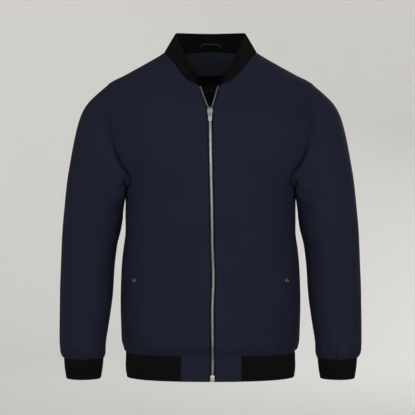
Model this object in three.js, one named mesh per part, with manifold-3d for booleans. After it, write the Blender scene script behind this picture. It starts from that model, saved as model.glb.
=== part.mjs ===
// A rib-trimmed bomber jacket, filled out as if worn, with open neck, hem and cuffs.
// Millimetres. The front faces -Y, +X is the wearer's left and +Z is up.
// The origin is the middle of the neck, level with the neck's side points.
import * as THREE from 'three';
import Module from 'manifold-3d';
import { mergeVertices } from 'three/addons/utils/BufferGeometryUtils.js';

// Cloth thicknesses and gaps
const SHELL = 1.6;
const KNIT = 2.2;
const THIN = 1.0;
const SEAM = 0.3;

// Main levels
const NECK_FRONT = -73;
const UNDERARM = -289;
const SHELL_BOTTOM = -627;
const HEM_BOTTOM = -678;
const CUFF_BOTTOM = -678;

// Widths
const NECK_SIDE = 97;
const ZIP_EDGE = 4.8;
const NECK_EDGE = 23.5;
const TAB_WIDTH = 62;

// Ribbing: rise of a rib, and its pitch
const RIB_RISE = 0.7;
const RIB_PITCH = 7.4;

// Levels of the body's rows from the shell's lower edge to the underarm
const LOWER_LEVELS = [SHELL_BOTTOM, -620, -607, -580, -535, -485, -435, -385, -335];

// Grid: columns from the front edge to the side, rows from the underarm to the neck,
// and rows along the neckline
const COLUMNS = 12;
const EDGE_ROWS = 8;
const NECK_ROWS = 6;
const UPPER_ROWS = EDGE_ROWS + NECK_ROWS;

// Depth of each layer under the shell's outer face
const LINING_DEPTH = SHELL + 2;
const FACING_DEPTH = SHELL + 1.2;
const LABEL_DEPTH = LINING_DEPTH + THIN + 1.0;
const TAPE_DEPTH = SHELL + 0.8;

// Body form by level: half width, depth to the front and back, and squareness
const BODY = [
  { z: -690, half: 175, front: 108, back: 110, square: 2.3 },
  { z: -678, half: 175, front: 108, back: 110, square: 2.3 },
  { z: -657, half: 177, front: 109, back: 111, square: 2.3 },
  { z: -636, half: 176.5, front: 109, back: 111, square: 2.3 },
  { z: -627, half: 177, front: 110, back: 112, square: 2.3 },
  { z: -620, half: 181, front: 114, back: 115, square: 2.3 },
  { z: -603, half: 186, front: 120, back: 118, square: 2.32 },
  { z: -582, half: 187, front: 120, back: 117, square: 2.33 },
  { z: -519, half: 188.4, front: 119, back: 110, square: 2.34 },
  { z: -456, half: 186.7, front: 118, back: 105, square: 2.35 },
  { z: -414, half: 183, front: 119, back: 106, square: 2.36 },
  { z: -372, half: 178, front: 121, back: 109, square: 2.37 },
  { z: -325, half: 178, front: 122, back: 112, square: 2.36 },
  { z: -289, half: 180, front: 122, back: 114, square: 2.35 },
  { z: -260, half: 195, front: 122, back: 116, square: 2.32 },
  { z: -240, half: 210, front: 122, back: 117, square: 2.3 },
  { z: -200, half: 230, front: 119, back: 118, square: 2.28 },
  { z: -150, half: 238, front: 110, back: 115, square: 2.25 },
  { z: -100, half: 232, front: 92, back: 109, square: 2.18 },
  { z: -80, half: 223, front: 83, back: 105, square: 2.1 },
  { z: -67, half: 215, front: 77, back: 103, square: 2.05 },
  { z: -46, half: 177, front: 68, back: 98, square: 2.0 },
  { z: -25, half: 139, front: 57, back: 92, square: 2.0 },
  { z: 0, half: 97, front: 45, back: 84, square: 2.0 },
  { z: 14, half: 80, front: 40, back: 80, square: 2.0 },
  { z: 30, half: 62, front: 36, back: 77, square: 2.0 },
];

// Sideways wander of the closed zip and the cloth beside it
const WANDER = [
  { z: -690, shift: 3.0 },
  { z: -640, shift: 4.4 },
  { z: -540, shift: 3.6 },
  { z: -464, shift: 5.6 },
  { z: -414, shift: 3.8 },
  { z: -338, shift: 2.6 },
  { z: -212, shift: 0 },
  { z: -125, shift: -1.2 },
  { z: -73, shift: -3.5 },
  { z: -20, shift: 0 },
];
const WANDER_REACH = 95;

// Neckline, front half from the zip to the shoulder, then the back half
const NECK_FRONT_LINE = [
  { x: 23.5, z: -73 },
  { x: 30, z: -70.5 },
  { x: 42, z: -65 },
  { x: 59.5, z: -49 },
  { x: 73, z: -29 },
  { x: 86, z: -13 },
  { x: 97, z: 0 },
];
const NECK_BACK_LINE = [
  { x: 0, z: 14 },
  { x: 32, z: 12.5 },
  { x: 62, z: 8.5 },
  { x: 84, z: 3.5 },
  { x: 97, z: 0 },
];

// Armhole seam by angle from the shoulder tip to the underarm
const ARMHOLE = [
  { angle: 0, z: -67, front: 0, back: 0 },
  { angle: 30, z: -81.6, front: 27, back: 29 },
  { angle: 60, z: -121.5, front: 50, back: 51 },
  { angle: 90, z: -176, front: 65, back: 64 },
  { angle: 115, z: -222, front: 71, back: 69 },
  { angle: 135, z: -254, front: 72, back: 68 },
  { angle: 150, z: -274, front: 66, back: 61 },
  { angle: 165, z: -286, front: 44, back: 40 },
  { angle: 180, z: -289, front: 0, back: 0 },
];

// Sleeve rings: outer and inner point, middle in Y, half depth, how much of the
// armhole's own shape is left in the ring, and the size of the fold in front
const SLEEVE = [
  { step: 0, outX: 215, outZ: -67, inX: 180, inZ: -289, y: 0, depth: 62, seam: 1, fold: 0 },
  { step: 1, outX: 236, outZ: -85, inX: 184, inZ: -283, y: -2, depth: 66, seam: 0.8, fold: 0 },
  { step: 2, outX: 255, outZ: -104, inX: 186, inZ: -283, y: -3, depth: 68, seam: 0.6, fold: 3 },
  { step: 3, outX: 268, outZ: -125, inX: 186.5, inZ: -287, y: -4, depth: 69, seam: 0.42, fold: 8 },
  { step: 4, outX: 277, outZ: -150, inX: 186, inZ: -295, y: -4, depth: 69, seam: 0.26, fold: 12 },
  { step: 5, outX: 285, outZ: -183, inX: 185, inZ: -307, y: -4, depth: 68, seam: 0.13, fold: 12 },
  { step: 6, outX: 293, outZ: -225, inX: 183.5, inZ: -323, y: -4, depth: 67, seam: 0.05, fold: 6 },
  { step: 7, outX: 300, outZ: -267, inX: 183.5, inZ: -341, y: -5, depth: 66, seam: 0, fold: 1 },
  { step: 8, outX: 305.5, outZ: -320, inX: 186.5, inZ: -366, y: -6, depth: 64, seam: 0, fold: 0 },
  { step: 9, outX: 310, outZ: -375, inX: 195, inZ: -402, y: -8, depth: 62, seam: 0, fold: 0 },
  { step: 10, outX: 312.5, outZ: -440, inX: 200.5, inZ: -448, y: -12, depth: 59, seam: 0, fold: 0 },
  { step: 11, outX: 314, outZ: -500, inX: 203.5, inZ: -502, y: -18, depth: 57, seam: 0, fold: 0 },
  { step: 12, outX: 314, outZ: -560, inX: 211, inZ: -562, y: -26, depth: 54, seam: 0, fold: 0 },
  { step: 13, outX: 313.5, outZ: -603, inX: 217, inZ: -603, y: -32, depth: 51, seam: 0, fold: 0 },
  { step: 14, outX: 310.5, outZ: -624, inX: 218.5, inZ: -624, y: -34, depth: 48, seam: 0, fold: 0 },
  { step: 15, outX: 305, outZ: -636, inX: 220.5, inZ: -636, y: -35, depth: 43, seam: 0, fold: 0 },
];
const SLEEVE_RINGS = 18;
const FOLD_ANGLE = 148;
const FOLD_SPREAD = 30;
const SLEEVE_CLEAR = 2.5;

// Cuff rings below the sleeve
const CUFF = [
  { outX: 303.5, inX: 222.5, z: -636.3, y: -35.5, depth: 41.5 },
  { outX: 298, inX: 228, z: CUFF_BOTTOM, y: -37.5, depth: 37.5 },
];
const CUFF_RIBS_PER_CHORD = 2;

// Collar's top edge by its share of the way from the front end to the back
const COLLAR_TOP = [
  { share: 0, x: 29, y: -71, z: -52 },
  { share: 0.15, x: 38, y: -66, z: -36 },
  { share: 0.3, x: 50, y: -55, z: -14 },
  { share: 0.42, x: 61.5, y: -36, z: 10 },
  { share: 0.47, x: 68.5, y: -20, z: 27 },
  { share: 0.52, x: 73, y: 0, z: 40 },
  { share: 0.6, x: 71.5, y: 18, z: 44 },
  { share: 0.75, x: 56, y: 44, z: 47 },
  { share: 0.88, x: 31, y: 58, z: 48 },
  { share: 1, x: 0, y: 63, z: 48 },
];
const COLLAR_ROLL = 0.6;

// Back neck facing: its lower edge, and where it stops short of the shoulder
const FACING_BOTTOM = -38.5;
const FACING_SIDE = 86;
const FACING_RISE = 14;
const FACING_FLAT = 52;
const FACING_TOP_GAP = 3.5;

// Lining, seen inside the back below the facing
const LINING_TOP = [
  { x: 0, z: -40 },
  { x: 50, z: -40.5 },
  { x: 93, z: -32 },
  { x: 121, z: -20 },
];
const LINING_SIDE = 0.93;

// Label and hanger loop
const LABEL = { middle: -3, half: 24, top: -41, bottom: -73 };
const LOOP = { middle: 0.5, half: 24.5, rise: 14, band: 4.5, thick: 1.4, corner: 9, clear: 5.5 };

// Side pockets: ends of the welt's middle line, its width, and the press stud
const WELT = { topX: 139, topZ: -391, lowX: 170, lowZ: -557, width: 22, lift: 0.9, thick: 1.4 };
const STUD = { radius: 5, thick: 2.2, rim: 1.1 };

// Zip: half width of the closed chain, its tape, and the levels along it
const CHAIN_HALF = 2.8;
const CHAIN_RISE = 0.7;
const CHAIN_THICK = 2.2;
const TAPE_IN = 4.4;
const TAPE_OUT = 9;
const SLIDER_TOP = -123;
const SLIDER_LENGTH = 13;
const PULL_LENGTH = 22.5;
const BOX = { top: -664.5, bottom: -676, half: 4.2, back: 1.7, front: 1.3 };

// Slider and pull tab, in the slider's own frame: x across, y out, z up
const PLATE = { half: 5.5, low: 4.4, from: 0.4, to: 2.2 };
const STEM = { half: 4.1, from: -1.7 };
const CROWN = { half: 1.4, reach: 4, inner: 2.4, roof: 5, top: 6.1 };
const HINGE_LIFT = 3.6;
const PULL = { bar: 0.75, inner: 2, outer: 4, eye: 5.4, tip: 3.4, hole: 1.5, holeAt: 18.6 };

// Colours
const NAVY = 0x20222f;
const BLACK_KNIT = 0x111114;
const BLACK_LINING = 0x0c0d11;
const SILVER = 0xb9b9b4;
const TAPE_BLACK = 0x101218;

const PARTS = new THREE.Group();
const RADIANS = Math.PI / 180;

// A smooth curve through one column of a table, flat beyond its ends
function curve(table, by, column) {
  const at = table.map((row) => row[by]);
  const value = table.map((row) => row[column]);
  const last = at.length - 1;
  const slope = value.slice(1).map((v, i) => (v - value[i]) / (at[i + 1] - at[i]));
  const tangent = value.map((_, i) => {
    if (i === 0) return slope[0];
    if (i === last) return slope[last - 1];
    if (slope[i - 1] * slope[i] <= 0) return 0;
    return (2 * slope[i - 1] * slope[i]) / (slope[i - 1] + slope[i]);
  });
  return (x) => {
    if (x <= at[0]) return value[0];
    if (x >= at[last]) return value[last];
    const i = at.findIndex((a) => a > x) - 1;
    const span = at[i + 1] - at[i];
    const u = (x - at[i]) / span;
    const rest = 1 - u;
    return value[i] * rest * rest * (1 + 2 * u) + value[i + 1] * u * u * (3 - 2 * u)
      + span * u * rest * (tangent[i] * rest - tangent[i + 1] * u);
  };
}

const mix = THREE.MathUtils.lerp;
const smooth = THREE.MathUtils.smoothstep;
const body = {
  half: curve(BODY, 'z', 'half'),
  front: curve(BODY, 'z', 'front'),
  back: curve(BODY, 'z', 'back'),
  square: curve(BODY, 'z', 'square'),
};
const wanderAt = curve(WANDER, 'z', 'shift');
const neckFrontAt = curve(NECK_FRONT_LINE, 'x', 'z');
const neckBackAt = curve(NECK_BACK_LINE, 'x', 'z');
const liningTopAt = curve(LINING_TOP, 'x', 'z');
const armholeZ = curve(ARMHOLE, 'angle', 'z');
const armholeFront = curve(ARMHOLE, 'angle', 'front');
const armholeBack = curve(ARMHOLE, 'angle', 'back');

// Point of the body form at a turn about Z and a level: 0 is the front, 90 the wearer's left side
function bodyPoint({ turn, z }) {
  const across = Math.sin(turn);
  const along = Math.cos(turn);
  const n = body.square(z);
  const scale = (Math.abs(across) ** n + Math.abs(along) ** n) ** (-1 / n);
  const depth = along > 0 ? body.front(z) : body.back(z);
  return new THREE.Vector3(body.half(z) * across * scale, -depth * along * scale, z);
}

function bodyNormal({ turn, z }) {
  const around = bodyPoint({ turn: turn + 0.004, z }).sub(bodyPoint({ turn: turn - 0.004, z }));
  const up = bodyPoint({ turn, z: z + 0.6 }).sub(bodyPoint({ turn, z: z - 0.6 }));
  return around.cross(up).normalize();
}

// Turn that puts a point at a given distance from the middle, on the front or the back
function turnAtX(x, z, onBack = false) {
  const n = body.square(z);
  const share = Math.min(x / body.half(z), 1);
  const turn = Math.atan2(share, (1 - share ** n) ** (1 / n));
  return onBack ? Math.PI - turn : turn;
}

function turnAtY(y, z) {
  const n = body.square(z);
  const share = Math.min(Math.abs(y) / (y < 0 ? body.front(z) : body.back(z)), 1);
  const turn = Math.atan2((1 - share ** n) ** (1 / n), share);
  return y < 0 ? turn : Math.PI - turn;
}

// How far out the body's side lies at a point beside it
function bodySide(y, z) {
  return bodyPoint({ turn: turnAtY(y, z), z }).x;
}

function frontEdge(z) {
  const rise = Math.max(0, (z - SLIDER_TOP) / (NECK_FRONT - SLIDER_TOP));
  return ZIP_EDGE + (NECK_EDGE - ZIP_EDGE) * Math.min(rise, 1) ** 1.1;
}

// A surface under construction: points shared by position, each with its own outward direction
function newSheet() {
  return { points: [], outward: [], faces: [], known: new Map() };
}

function addPoint(sheet, point, outward) {
  const key = point.toArray().map((v) => Math.round(v * 100) || 0).join();
  if (!sheet.known.has(key)) {
    sheet.known.set(key, sheet.points.length);
    sheet.points.push(point);
    sheet.outward.push(outward);
  }
  return sheet.known.get(key);
}

// Adds a grid of { point, outward }, with its faces turned the way its points look
function addGrid(sheet, rows, { closed = false } = {}) {
  const ids = rows.map((row) => row.map((spot) => addPoint(sheet, spot.point, spot.outward)));
  const faces = [];
  let facing = 0;
  for (let r = 0; r + 1 < ids.length; r += 1) {
    const count = ids[r].length;
    for (let c = 0; c < (closed ? count : count - 1); c += 1) {
      const next = (c + 1) % count;
      const [a, b, d, e] = [ids[r][c], ids[r][next], ids[r + 1][next], ids[r + 1][c]];
      faces.push([a, b, d], [a, d, e]);
      const side = sheet.points[d].clone().sub(sheet.points[a]);
      facing += sheet.points[b].clone().sub(sheet.points[a]).cross(side).dot(sheet.outward[a]);
    }
  }
  sheet.faces.push(...(facing < 0 ? faces.map((face) => face.reverse()) : faces));
}

// Closes a sheet into a wall: its outer face, an inner face, and rims along every open edge
function wall(sheet, thickness) {
  const count = sheet.points.length;
  const inner = sheet.points.map((p, i) => {
    return p.clone().addScaledVector(sheet.outward[i], -thickness);
  });
  const position = [...sheet.points, ...inner].flatMap((p) => p.toArray());
  const index = [];
  const edges = new Set(sheet.faces.flatMap(([a, b, c]) => [`${a},${b}`, `${b},${c}`, `${c},${a}`]));
  for (const [a, b, c] of sheet.faces) {
    index.push(a, b, c, count + a, count + c, count + b);
    for (const [from, to] of [[a, b], [b, c], [c, a]]) {
      if (!edges.has(`${to},${from}`)) index.push(from, count + from, to, to, count + from, count + to);
    }
  }
  const geometry = new THREE.BufferGeometry();
  geometry.setAttribute('position', new THREE.Float32BufferAttribute(position, 3));
  geometry.setIndex(index);
  geometry.computeVertexNormals();
  return geometry;
}

function addMesh(name, geometry, color, roughness = 0.85, metalness = 0) {
  const mesh = new THREE.Mesh(geometry, new THREE.MeshStandardMaterial({ color, roughness, metalness }));
  mesh.name = name;
  PARTS.add(mesh);
  return mesh;
}

// Puts a spot of the wearer's left half on either side, with the zip's wander
function onSide(point, outward, side) {
  const x = side * point.x;
  const near = point.y < 0 ? 1 - smooth(Math.abs(x), 0, WANDER_REACH) : 0;
  const placed = new THREE.Vector3(x + wanderAt(point.z) * near, point.y, point.z);
  return { point: placed, outward: new THREE.Vector3(side * outward.x, outward.y, outward.z) };
}

function bodySpot(place, side, lift = 0, outward = bodyNormal(place)) {
  return onSide(bodyPoint(place).addScaledVector(outward, lift), outward, side);
}

// Armhole seam at an angle: 0 at the shoulder, 180 at the underarm, negative on the back
function armholePlace(angle) {
  const size = Math.abs(angle);
  const z = armholeZ(size);
  const y = angle >= 0 ? -armholeFront(size) : armholeBack(size);
  return { turn: turnAtY(y === 0 ? -1e-9 : y, z), z };
}

const sleeveColumn = {};
for (const name of ['outX', 'outZ', 'inX', 'inZ', 'y', 'depth', 'seam', 'fold']) {
  sleeveColumn[name] = curve(SLEEVE, 'step', name);
}

function plainSleeveRing(step, angle) {
  const along = Math.cos(angle * RADIANS);
  const middle = (a, b) => (a + b) / 2 + ((a - b) / 2) * along;
  return new THREE.Vector3(
    middle(sleeveColumn.outX(step), sleeveColumn.inX(step)),
    sleeveColumn.y(step) - sleeveColumn.depth(step) * Math.sin(angle * RADIANS),
    middle(sleeveColumn.outZ(step), sleeveColumn.inZ(step)),
  );
}

// Point of the left sleeve: an oval that keeps the armhole's shape at first, with a fold
// in front of the underarm, and is held clear of the body's side
function sleevePoint(step, angle) {
  const seam = bodyPoint(armholePlace(angle)).sub(plainSleeveRing(0, angle));
  const point = plainSleeveRing(step, angle).addScaledVector(seam, sleeveColumn.seam(step));
  const beside = (Math.abs(angle) - FOLD_ANGLE) / FOLD_SPREAD;
  const fold = sleeveColumn.fold(step) * Math.exp(-beside * beside) * (angle > 0 ? 1 : 0.6);
  point.x -= fold;
  point.y += fold * (angle > 0 ? -0.4 : 0.4);
  const clear = SLEEVE_CLEAR * smooth(step, 0, 2);
  if (step > 0) point.x = Math.max(point.x, bodySide(point.y, point.z) + clear);
  return point;
}

function sleeveNormal(step, angle) {
  const around = sleevePoint(step, angle - 1).sub(sleevePoint(step, angle + 1));
  const along = sleevePoint(step + 0.25, angle).sub(sleevePoint(Math.max(step - 0.25, 0), angle));
  return along.cross(around).normalize();
}

// The direction shared by both walls where the sleeve meets the body
function armholeNormal(angle) {
  return bodyNormal(armholePlace(angle)).add(sleeveNormal(0, angle)).normalize();
}

// Places down the panel's middle edge, then along the neckline
function innerPlace(row, onBack) {
  if (row <= EDGE_ROWS) {
    const z = mix(UNDERARM, onBack ? NECK_BACK_LINE[0].z : NECK_FRONT, row / EDGE_ROWS);
    return { turn: turnAtX(onBack ? 0 : frontEdge(z), z, onBack), z };
  }
  const share = Math.sin(((row - EDGE_ROWS) / NECK_ROWS) * (Math.PI / 2));
  const x = mix(onBack ? 0 : NECK_EDGE, NECK_SIDE, share);
  const z = onBack ? neckBackAt(x) : neckFrontAt(x);
  return { turn: turnAtX(x, z, onBack), z };
}

function armAngle(row) {
  return 180 * (1 - row / UPPER_ROWS);
}

// One half of the body's front or back as rows of places, from the hem to the shoulder
function panelPlaces(onBack, inner = innerPlace) {
  const rows = [];
  for (const z of LOWER_LEVELS) {
    const from = turnAtX(onBack ? 0 : frontEdge(z), z, onBack);
    rows.push(rowOfPlaces({ turn: from, z }, { turn: Math.PI / 2, z }));
  }
  for (let r = 0; r <= UPPER_ROWS; r += 1) {
    const angle = armAngle(r);
    rows.push(rowOfPlaces(inner(r, onBack), armholePlace(onBack ? -angle : angle)));
  }
  return rows;
}

function rowOfPlaces(from, to) {
  return Array.from({ length: COLUMNS + 1 }, (_, c) => ({
    turn: mix(from.turn, to.turn, c / COLUMNS),
    z: mix(from.z, to.z, c / COLUMNS),
  }));
}

// Collar: its lower edge follows the neckline's points, its upper edge the table
const collarTop = {
  x: curve(COLLAR_TOP, 'share', 'x'),
  y: curve(COLLAR_TOP, 'share', 'y'),
  z: curve(COLLAR_TOP, 'share', 'z'),
};
const neckPlaces = [];
for (let r = EDGE_ROWS; r <= UPPER_ROWS; r += 1) neckPlaces.push(innerPlace(r, false));
for (let r = UPPER_ROWS - 1; r >= EDGE_ROWS; r -= 1) neckPlaces.push(innerPlace(r, true));
const neckPoints = neckPlaces.map(bodyPoint);
const neckLengths = [0];
neckPoints.slice(1).forEach((p, i) => neckLengths.push(neckLengths[i] + p.distanceTo(neckPoints[i])));
const neckLength = neckLengths[neckLengths.length - 1];

// Collar point at a share of the half neckline and a share of its height, before ribs
function collarPoint(share, height) {
  const length = share * neckLength;
  let i = neckLengths.findIndex((l) => l > length) - 1;
  if (i < 0) i = neckPoints.length - 2;
  const part = (length - neckLengths[i]) / (neckLengths[i + 1] - neckLengths[i]);
  const low = neckPoints[i].clone().lerp(neckPoints[i + 1], part);
  const high = new THREE.Vector3(collarTop.x(share), collarTop.y(share), collarTop.z(share));
  const point = low.clone().lerp(high, height);
  const away = new THREE.Vector3(point.x, point.y, 0).normalize();
  return point.addScaledVector(away, COLLAR_ROLL * 4 * height * (1 - height));
}

function collarNormal(share, height) {
  const before = collarPoint(Math.max(share - 0.02, 0), height);
  const around = collarPoint(Math.min(share + 0.02, 1), height).sub(before);
  const up = collarPoint(share, Math.min(height + 0.1, 1)).sub(collarPoint(share, Math.max(height - 0.1, 0)));
  return around.cross(up).normalize();
}

// The direction shared by both walls where the collar meets the body
function neckNormal(place, share) {
  return bodyNormal(place).add(collarNormal(share, 0)).normalize();
}

// Moves the points of an edge towards their neighbours, to leave half a seam gap
function trimRow(rows, edge, next, amount = SEAM / 2) {
  rows[edge].forEach((spot, c) => {
    const inward = rows[next][c].point.clone().sub(spot.point);
    spot.point = spot.point.clone().addScaledVector(inward.normalize(), amount);
  });
}

function trimColumn(rows, edge, next, amount = SEAM / 2) {
  rows.forEach((row) => {
    const inward = row[next].point.clone().sub(row[edge].point);
    row[edge].point = row[edge].point.clone().addScaledVector(inward.normalize(), amount);
  });
}

// Spots of a panel half, with the seam directions it shares with sleeve and collar
function panelSpots(onBack, side) {
  const places = panelPlaces(onBack);
  const rows = places.map((row) => row.map((place) => bodySpot(place, side)));
  for (let r = 0; r <= UPPER_ROWS; r += 1) {
    const row = LOWER_LEVELS.length + r;
    const angle = armAngle(r);
    const arm = armholeNormal(onBack ? -angle : angle);
    rows[row][COLUMNS] = bodySpot(places[row][COLUMNS], side, 0, arm);
    if (r >= EDGE_ROWS) {
      const index = onBack ? neckPlaces.length - 1 - (r - EDGE_ROWS) : r - EDGE_ROWS;
      const neck = neckNormal(places[row][0], neckLengths[index] / neckLength);
      rows[row][0] = bodySpot(places[row][0], side, 0, neck);
    }
  }
  trimColumn(rows, COLUMNS, COLUMNS - 1);
  trimRow(rows, 0, 1);
  trimRow(rows, rows.length - 1, rows.length - 2);
  const neckline = rows.slice(LOWER_LEVELS.length + EDGE_ROWS);
  trimColumn(neckline, 0, 1);
  return rows;
}

function buildFront(name, side) {
  const sheet = newSheet();
  addGrid(sheet, panelSpots(false, side));
  addMesh(name, wall(sheet, SHELL), NAVY);
}

function buildBack() {
  const sheet = newSheet();
  for (const side of [1, -1]) addGrid(sheet, panelSpots(true, side));
  addMesh('back', wall(sheet, SHELL), NAVY);
}

// Angles round the sleeve that meet the rows of the front and back panels
function sleeveAngles() {
  const front = Array.from({ length: UPPER_ROWS }, (_, r) => armAngle(r));
  const back = Array.from({ length: UPPER_ROWS }, (_, r) => -armAngle(UPPER_ROWS - r));
  return [...front, ...back];
}

function buildSleeve(name, side) {
  const rows = [];
  for (let ring = 0; ring <= SLEEVE_RINGS; ring += 1) {
    const step = (SLEEVE.length - 1) * (ring / SLEEVE_RINGS);
    rows.push(sleeveAngles().map((angle) => {
      const outward = ring === 0 ? armholeNormal(angle) : sleeveNormal(step, angle);
      return onSide(sleevePoint(step, angle), outward, side);
    }));
  }
  trimRow(rows, 0, 1, SEAM);
  const sheet = newSheet();
  addGrid(sheet, rows, { closed: true });
  addMesh(name, wall(sheet, SHELL), NAVY);
}

// Ribbed strip: between each two spots of a row the surface rises and falls in ribs
function ribbed(rows, ribsOfChord, closed = false) {
  return rows.map((row) => {
    const spots = [];
    const chords = closed ? row.length : row.length - 1;
    for (let c = 0; c < chords; c += 1) {
      const steps = 2 * ribsOfChord(c);
      const next = row[(c + 1) % row.length];
      for (let s = 0; s < steps; s += 1) spots.push(ribSpot(row[c], next, s / steps, s % 2));
    }
    if (!closed) spots.push(ribSpot(row[chords - 1], row[chords], 1, 0));
    return spots;
  });
}

function ribSpot(from, to, share, onTop) {
  const outward = from.outward.clone().lerp(to.outward, share).normalize();
  const point = from.point.clone().lerp(to.point, share).addScaledVector(outward, onTop ? RIB_RISE : 0);
  return { point, outward, rise: onTop ? RIB_RISE : 0 };
}

// Wall with ribs outside and a plain inside
function ribbedWall(rows, thickness, options) {
  const sheet = newSheet();
  addGrid(sheet, rows, options);
  sheet.outward = sheet.outward.map((direction) => direction.clone());
  rows.flat().forEach((spot) => {
    if (spot.rise > 0) {
      const id = addPoint(sheet, spot.point, spot.outward);
      sheet.outward[id].setLength((thickness + spot.rise) / thickness);
    }
  });
  return wall(sheet, thickness);
}

function ribsAlong(row) {
  return (c) => {
    const chord = row[c].point.distanceTo(row[(c + 1) % row.length].point);
    return Math.max(1, Math.round(chord / RIB_PITCH));
  };
}

function buildCollar() {
  const heights = [0, 0.5, 1];
  const rows = heights.map((height) => {
    const half = neckPlaces.map((place, i) => {
      const share = neckLengths[i] / neckLength;
      const outward = height === 0 ? neckNormal(place, share) : collarNormal(share, height);
      return { point: collarPoint(share, height), outward };
    });
    const right = half.map((spot) => onSide(spot.point, spot.outward, -1));
    const left = half.map((spot) => onSide(spot.point, spot.outward, 1)).slice(0, -1).reverse();
    return [...right, ...left];
  });
  trimRow(rows, 0, 1, SEAM);
  addMesh('collar', ribbedWall(ribbed(rows, ribsAlong(rows[0])), KNIT), BLACK_KNIT, 0.95);
}

function buildCuff(name, side) {
  const rows = CUFF.map((ring) => sleeveAngles().map((angle) => {
    const along = Math.cos(angle * RADIANS);
    const across = Math.sin(angle * RADIANS);
    const half = (ring.outX - ring.inX) / 2;
    const point = new THREE.Vector3(ring.inX + half + half * along, ring.y - ring.depth * across, ring.z);
    const outward = new THREE.Vector3(along / half, -across / ring.depth, 0).normalize();
    return onSide(point, outward, side);
  }));
  const ribs = ribbed(rows, () => CUFF_RIBS_PER_CHORD, true);
  addMesh(name, ribbedWall(ribs, KNIT, { closed: true }), BLACK_KNIT, 0.95);
}

// Turns of the shell's lower edge on the left half, from a place on the front to the middle back
function hemTurns(fromX) {
  const start = turnAtX(fromX, SHELL_BOTTOM);
  const edge = turnAtX(ZIP_EDGE, SHELL_BOTTOM);
  const front = Array.from({ length: COLUMNS + 1 }, (_, c) => mix(edge, Math.PI / 2, c / COLUMNS));
  const back = Array.from({ length: COLUMNS }, (_, c) => mix(Math.PI / 2, Math.PI, (c + 1) / COLUMNS));
  return { start, front, back };
}

// The shell's lower edge is made of chords, so a start between two of them lies on the chord
function hemSpots(z, side) {
  const { start, front, back } = hemTurns(TAB_WIDTH + SEAM);
  const next = front.findIndex((turn) => turn > start);
  const before = bodySpot({ turn: front[next - 1], z }, side);
  const after = bodySpot({ turn: front[next], z }, side);
  const share = (start - front[next - 1]) / (front[next] - front[next - 1]);
  const rest = [...front.slice(next), ...back].map((turn) => bodySpot({ turn, z }, side));
  const tab = front.slice(0, next).map((turn) => bodySpot({ turn, z }, side));
  tab.push(between(before, after, share - 0.02));
  return { tab, band: [between(before, after, share), ...rest] };
}

function between(from, to, share) {
  return {
    point: from.point.clone().lerp(to.point, share),
    outward: from.outward.clone().lerp(to.outward, share).normalize(),
  };
}

function buildHem() {
  const levels = [HEM_BOTTOM, SHELL_BOTTOM - SEAM];
  const rows = levels.map((z) => {
    const right = hemSpots(z, -1).band;
    const left = hemSpots(z, 1).band.slice(0, -1).reverse();
    return [...right, ...left];
  });
  addMesh('hem_rib', ribbedWall(ribbed(rows, ribsAlong(rows[1])), KNIT), BLACK_KNIT, 0.95);
  for (const [name, side] of [['hem_tab_left', 1], ['hem_tab_right', -1]]) {
    const sheet = newSheet();
    const middle = (HEM_BOTTOM + SHELL_BOTTOM) / 2;
    const tab = [levels[0], middle, levels[1]].map((z) => hemSpots(z, side).tab);
    addGrid(sheet, tab);
    addMesh(name, wall(sheet, SHELL), NAVY);
  }
}

// Facing inside the back of the neck, on both halves
function buildFacing() {
  const sheet = newSheet();
  const steps = 8;
  const rows = [];
  for (let r = 0; r <= 3; r += 1) {
    const row = [];
    for (let c = -steps; c <= steps; c += 1) {
      const x = (FACING_SIDE * Math.abs(c)) / steps;
      const top = neckBackAt(x) - FACING_TOP_GAP;
      const beyond = Math.max(0, (x - FACING_FLAT) / (FACING_SIDE - FACING_FLAT));
      const low = FACING_BOTTOM + FACING_RISE * beyond * beyond;
      const z = mix(low, top, r / 3);
      const spread = mix(x * 1.08, x, r / 3);
      const place = { turn: turnAtX(spread, z, true), z };
      row.push(bodySpot(place, c < 0 ? -1 : 1, -FACING_DEPTH));
    }
    rows.push(row);
  }
  addGrid(sheet, rows);
  addMesh('back_neck_facing', wall(sheet, THIN), NAVY);
}

// Lining behind the back, from the facing down, short of the seams it is sewn into
function buildLining() {
  const sheet = newSheet();
  const topPlace = (row) => {
    if (row <= EDGE_ROWS) {
      const z = mix(UNDERARM, LINING_TOP[0].z, row / EDGE_ROWS);
      return { turn: Math.PI, z };
    }
    const x = mix(0, LINING_TOP[3].x, (row - EDGE_ROWS) / NECK_ROWS);
    const z = liningTopAt(x);
    return { turn: turnAtX(x, z, true), z };
  };
  const places = panelPlaces(true, topPlace).slice(1, -1);
  for (const side of [1, -1]) {
    const rows = places.map((row) => row.filter((_, c) => c % 2 === 0).map((place, c, kept) => {
      const middle = kept[0];
      const last = c === kept.length - 1 ? LINING_SIDE : 1;
      const at = { turn: mix(kept[0].turn, place.turn, last), z: mix(middle.z, place.z, last) };
      return bodySpot(at, side, -LINING_DEPTH);
    }));
    addGrid(sheet, rows);
  }
  addMesh('lining_back', wall(sheet, THIN), BLACK_LINING, 0.5);
}

function buildLabel() {
  const sheet = newSheet();
  const rows = [];
  for (let r = 0; r <= 2; r += 1) {
    const z = mix(LABEL.bottom, LABEL.top, r / 2);
    const row = [];
    for (let c = 0; c <= 4; c += 1) {
      const x = LABEL.middle + LABEL.half * mix(-1, 1, c / 4);
      const place = { turn: turnAtX(Math.abs(x), z, true), z };
      row.push(bodySpot(place, x < 0 ? -1 : 1, -LABEL_DEPTH));
    }
    rows.push(row);
  }
  addGrid(sheet, rows);
  addMesh('label', wall(sheet, THIN), BLACK_KNIT, 0.6);
}

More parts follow.
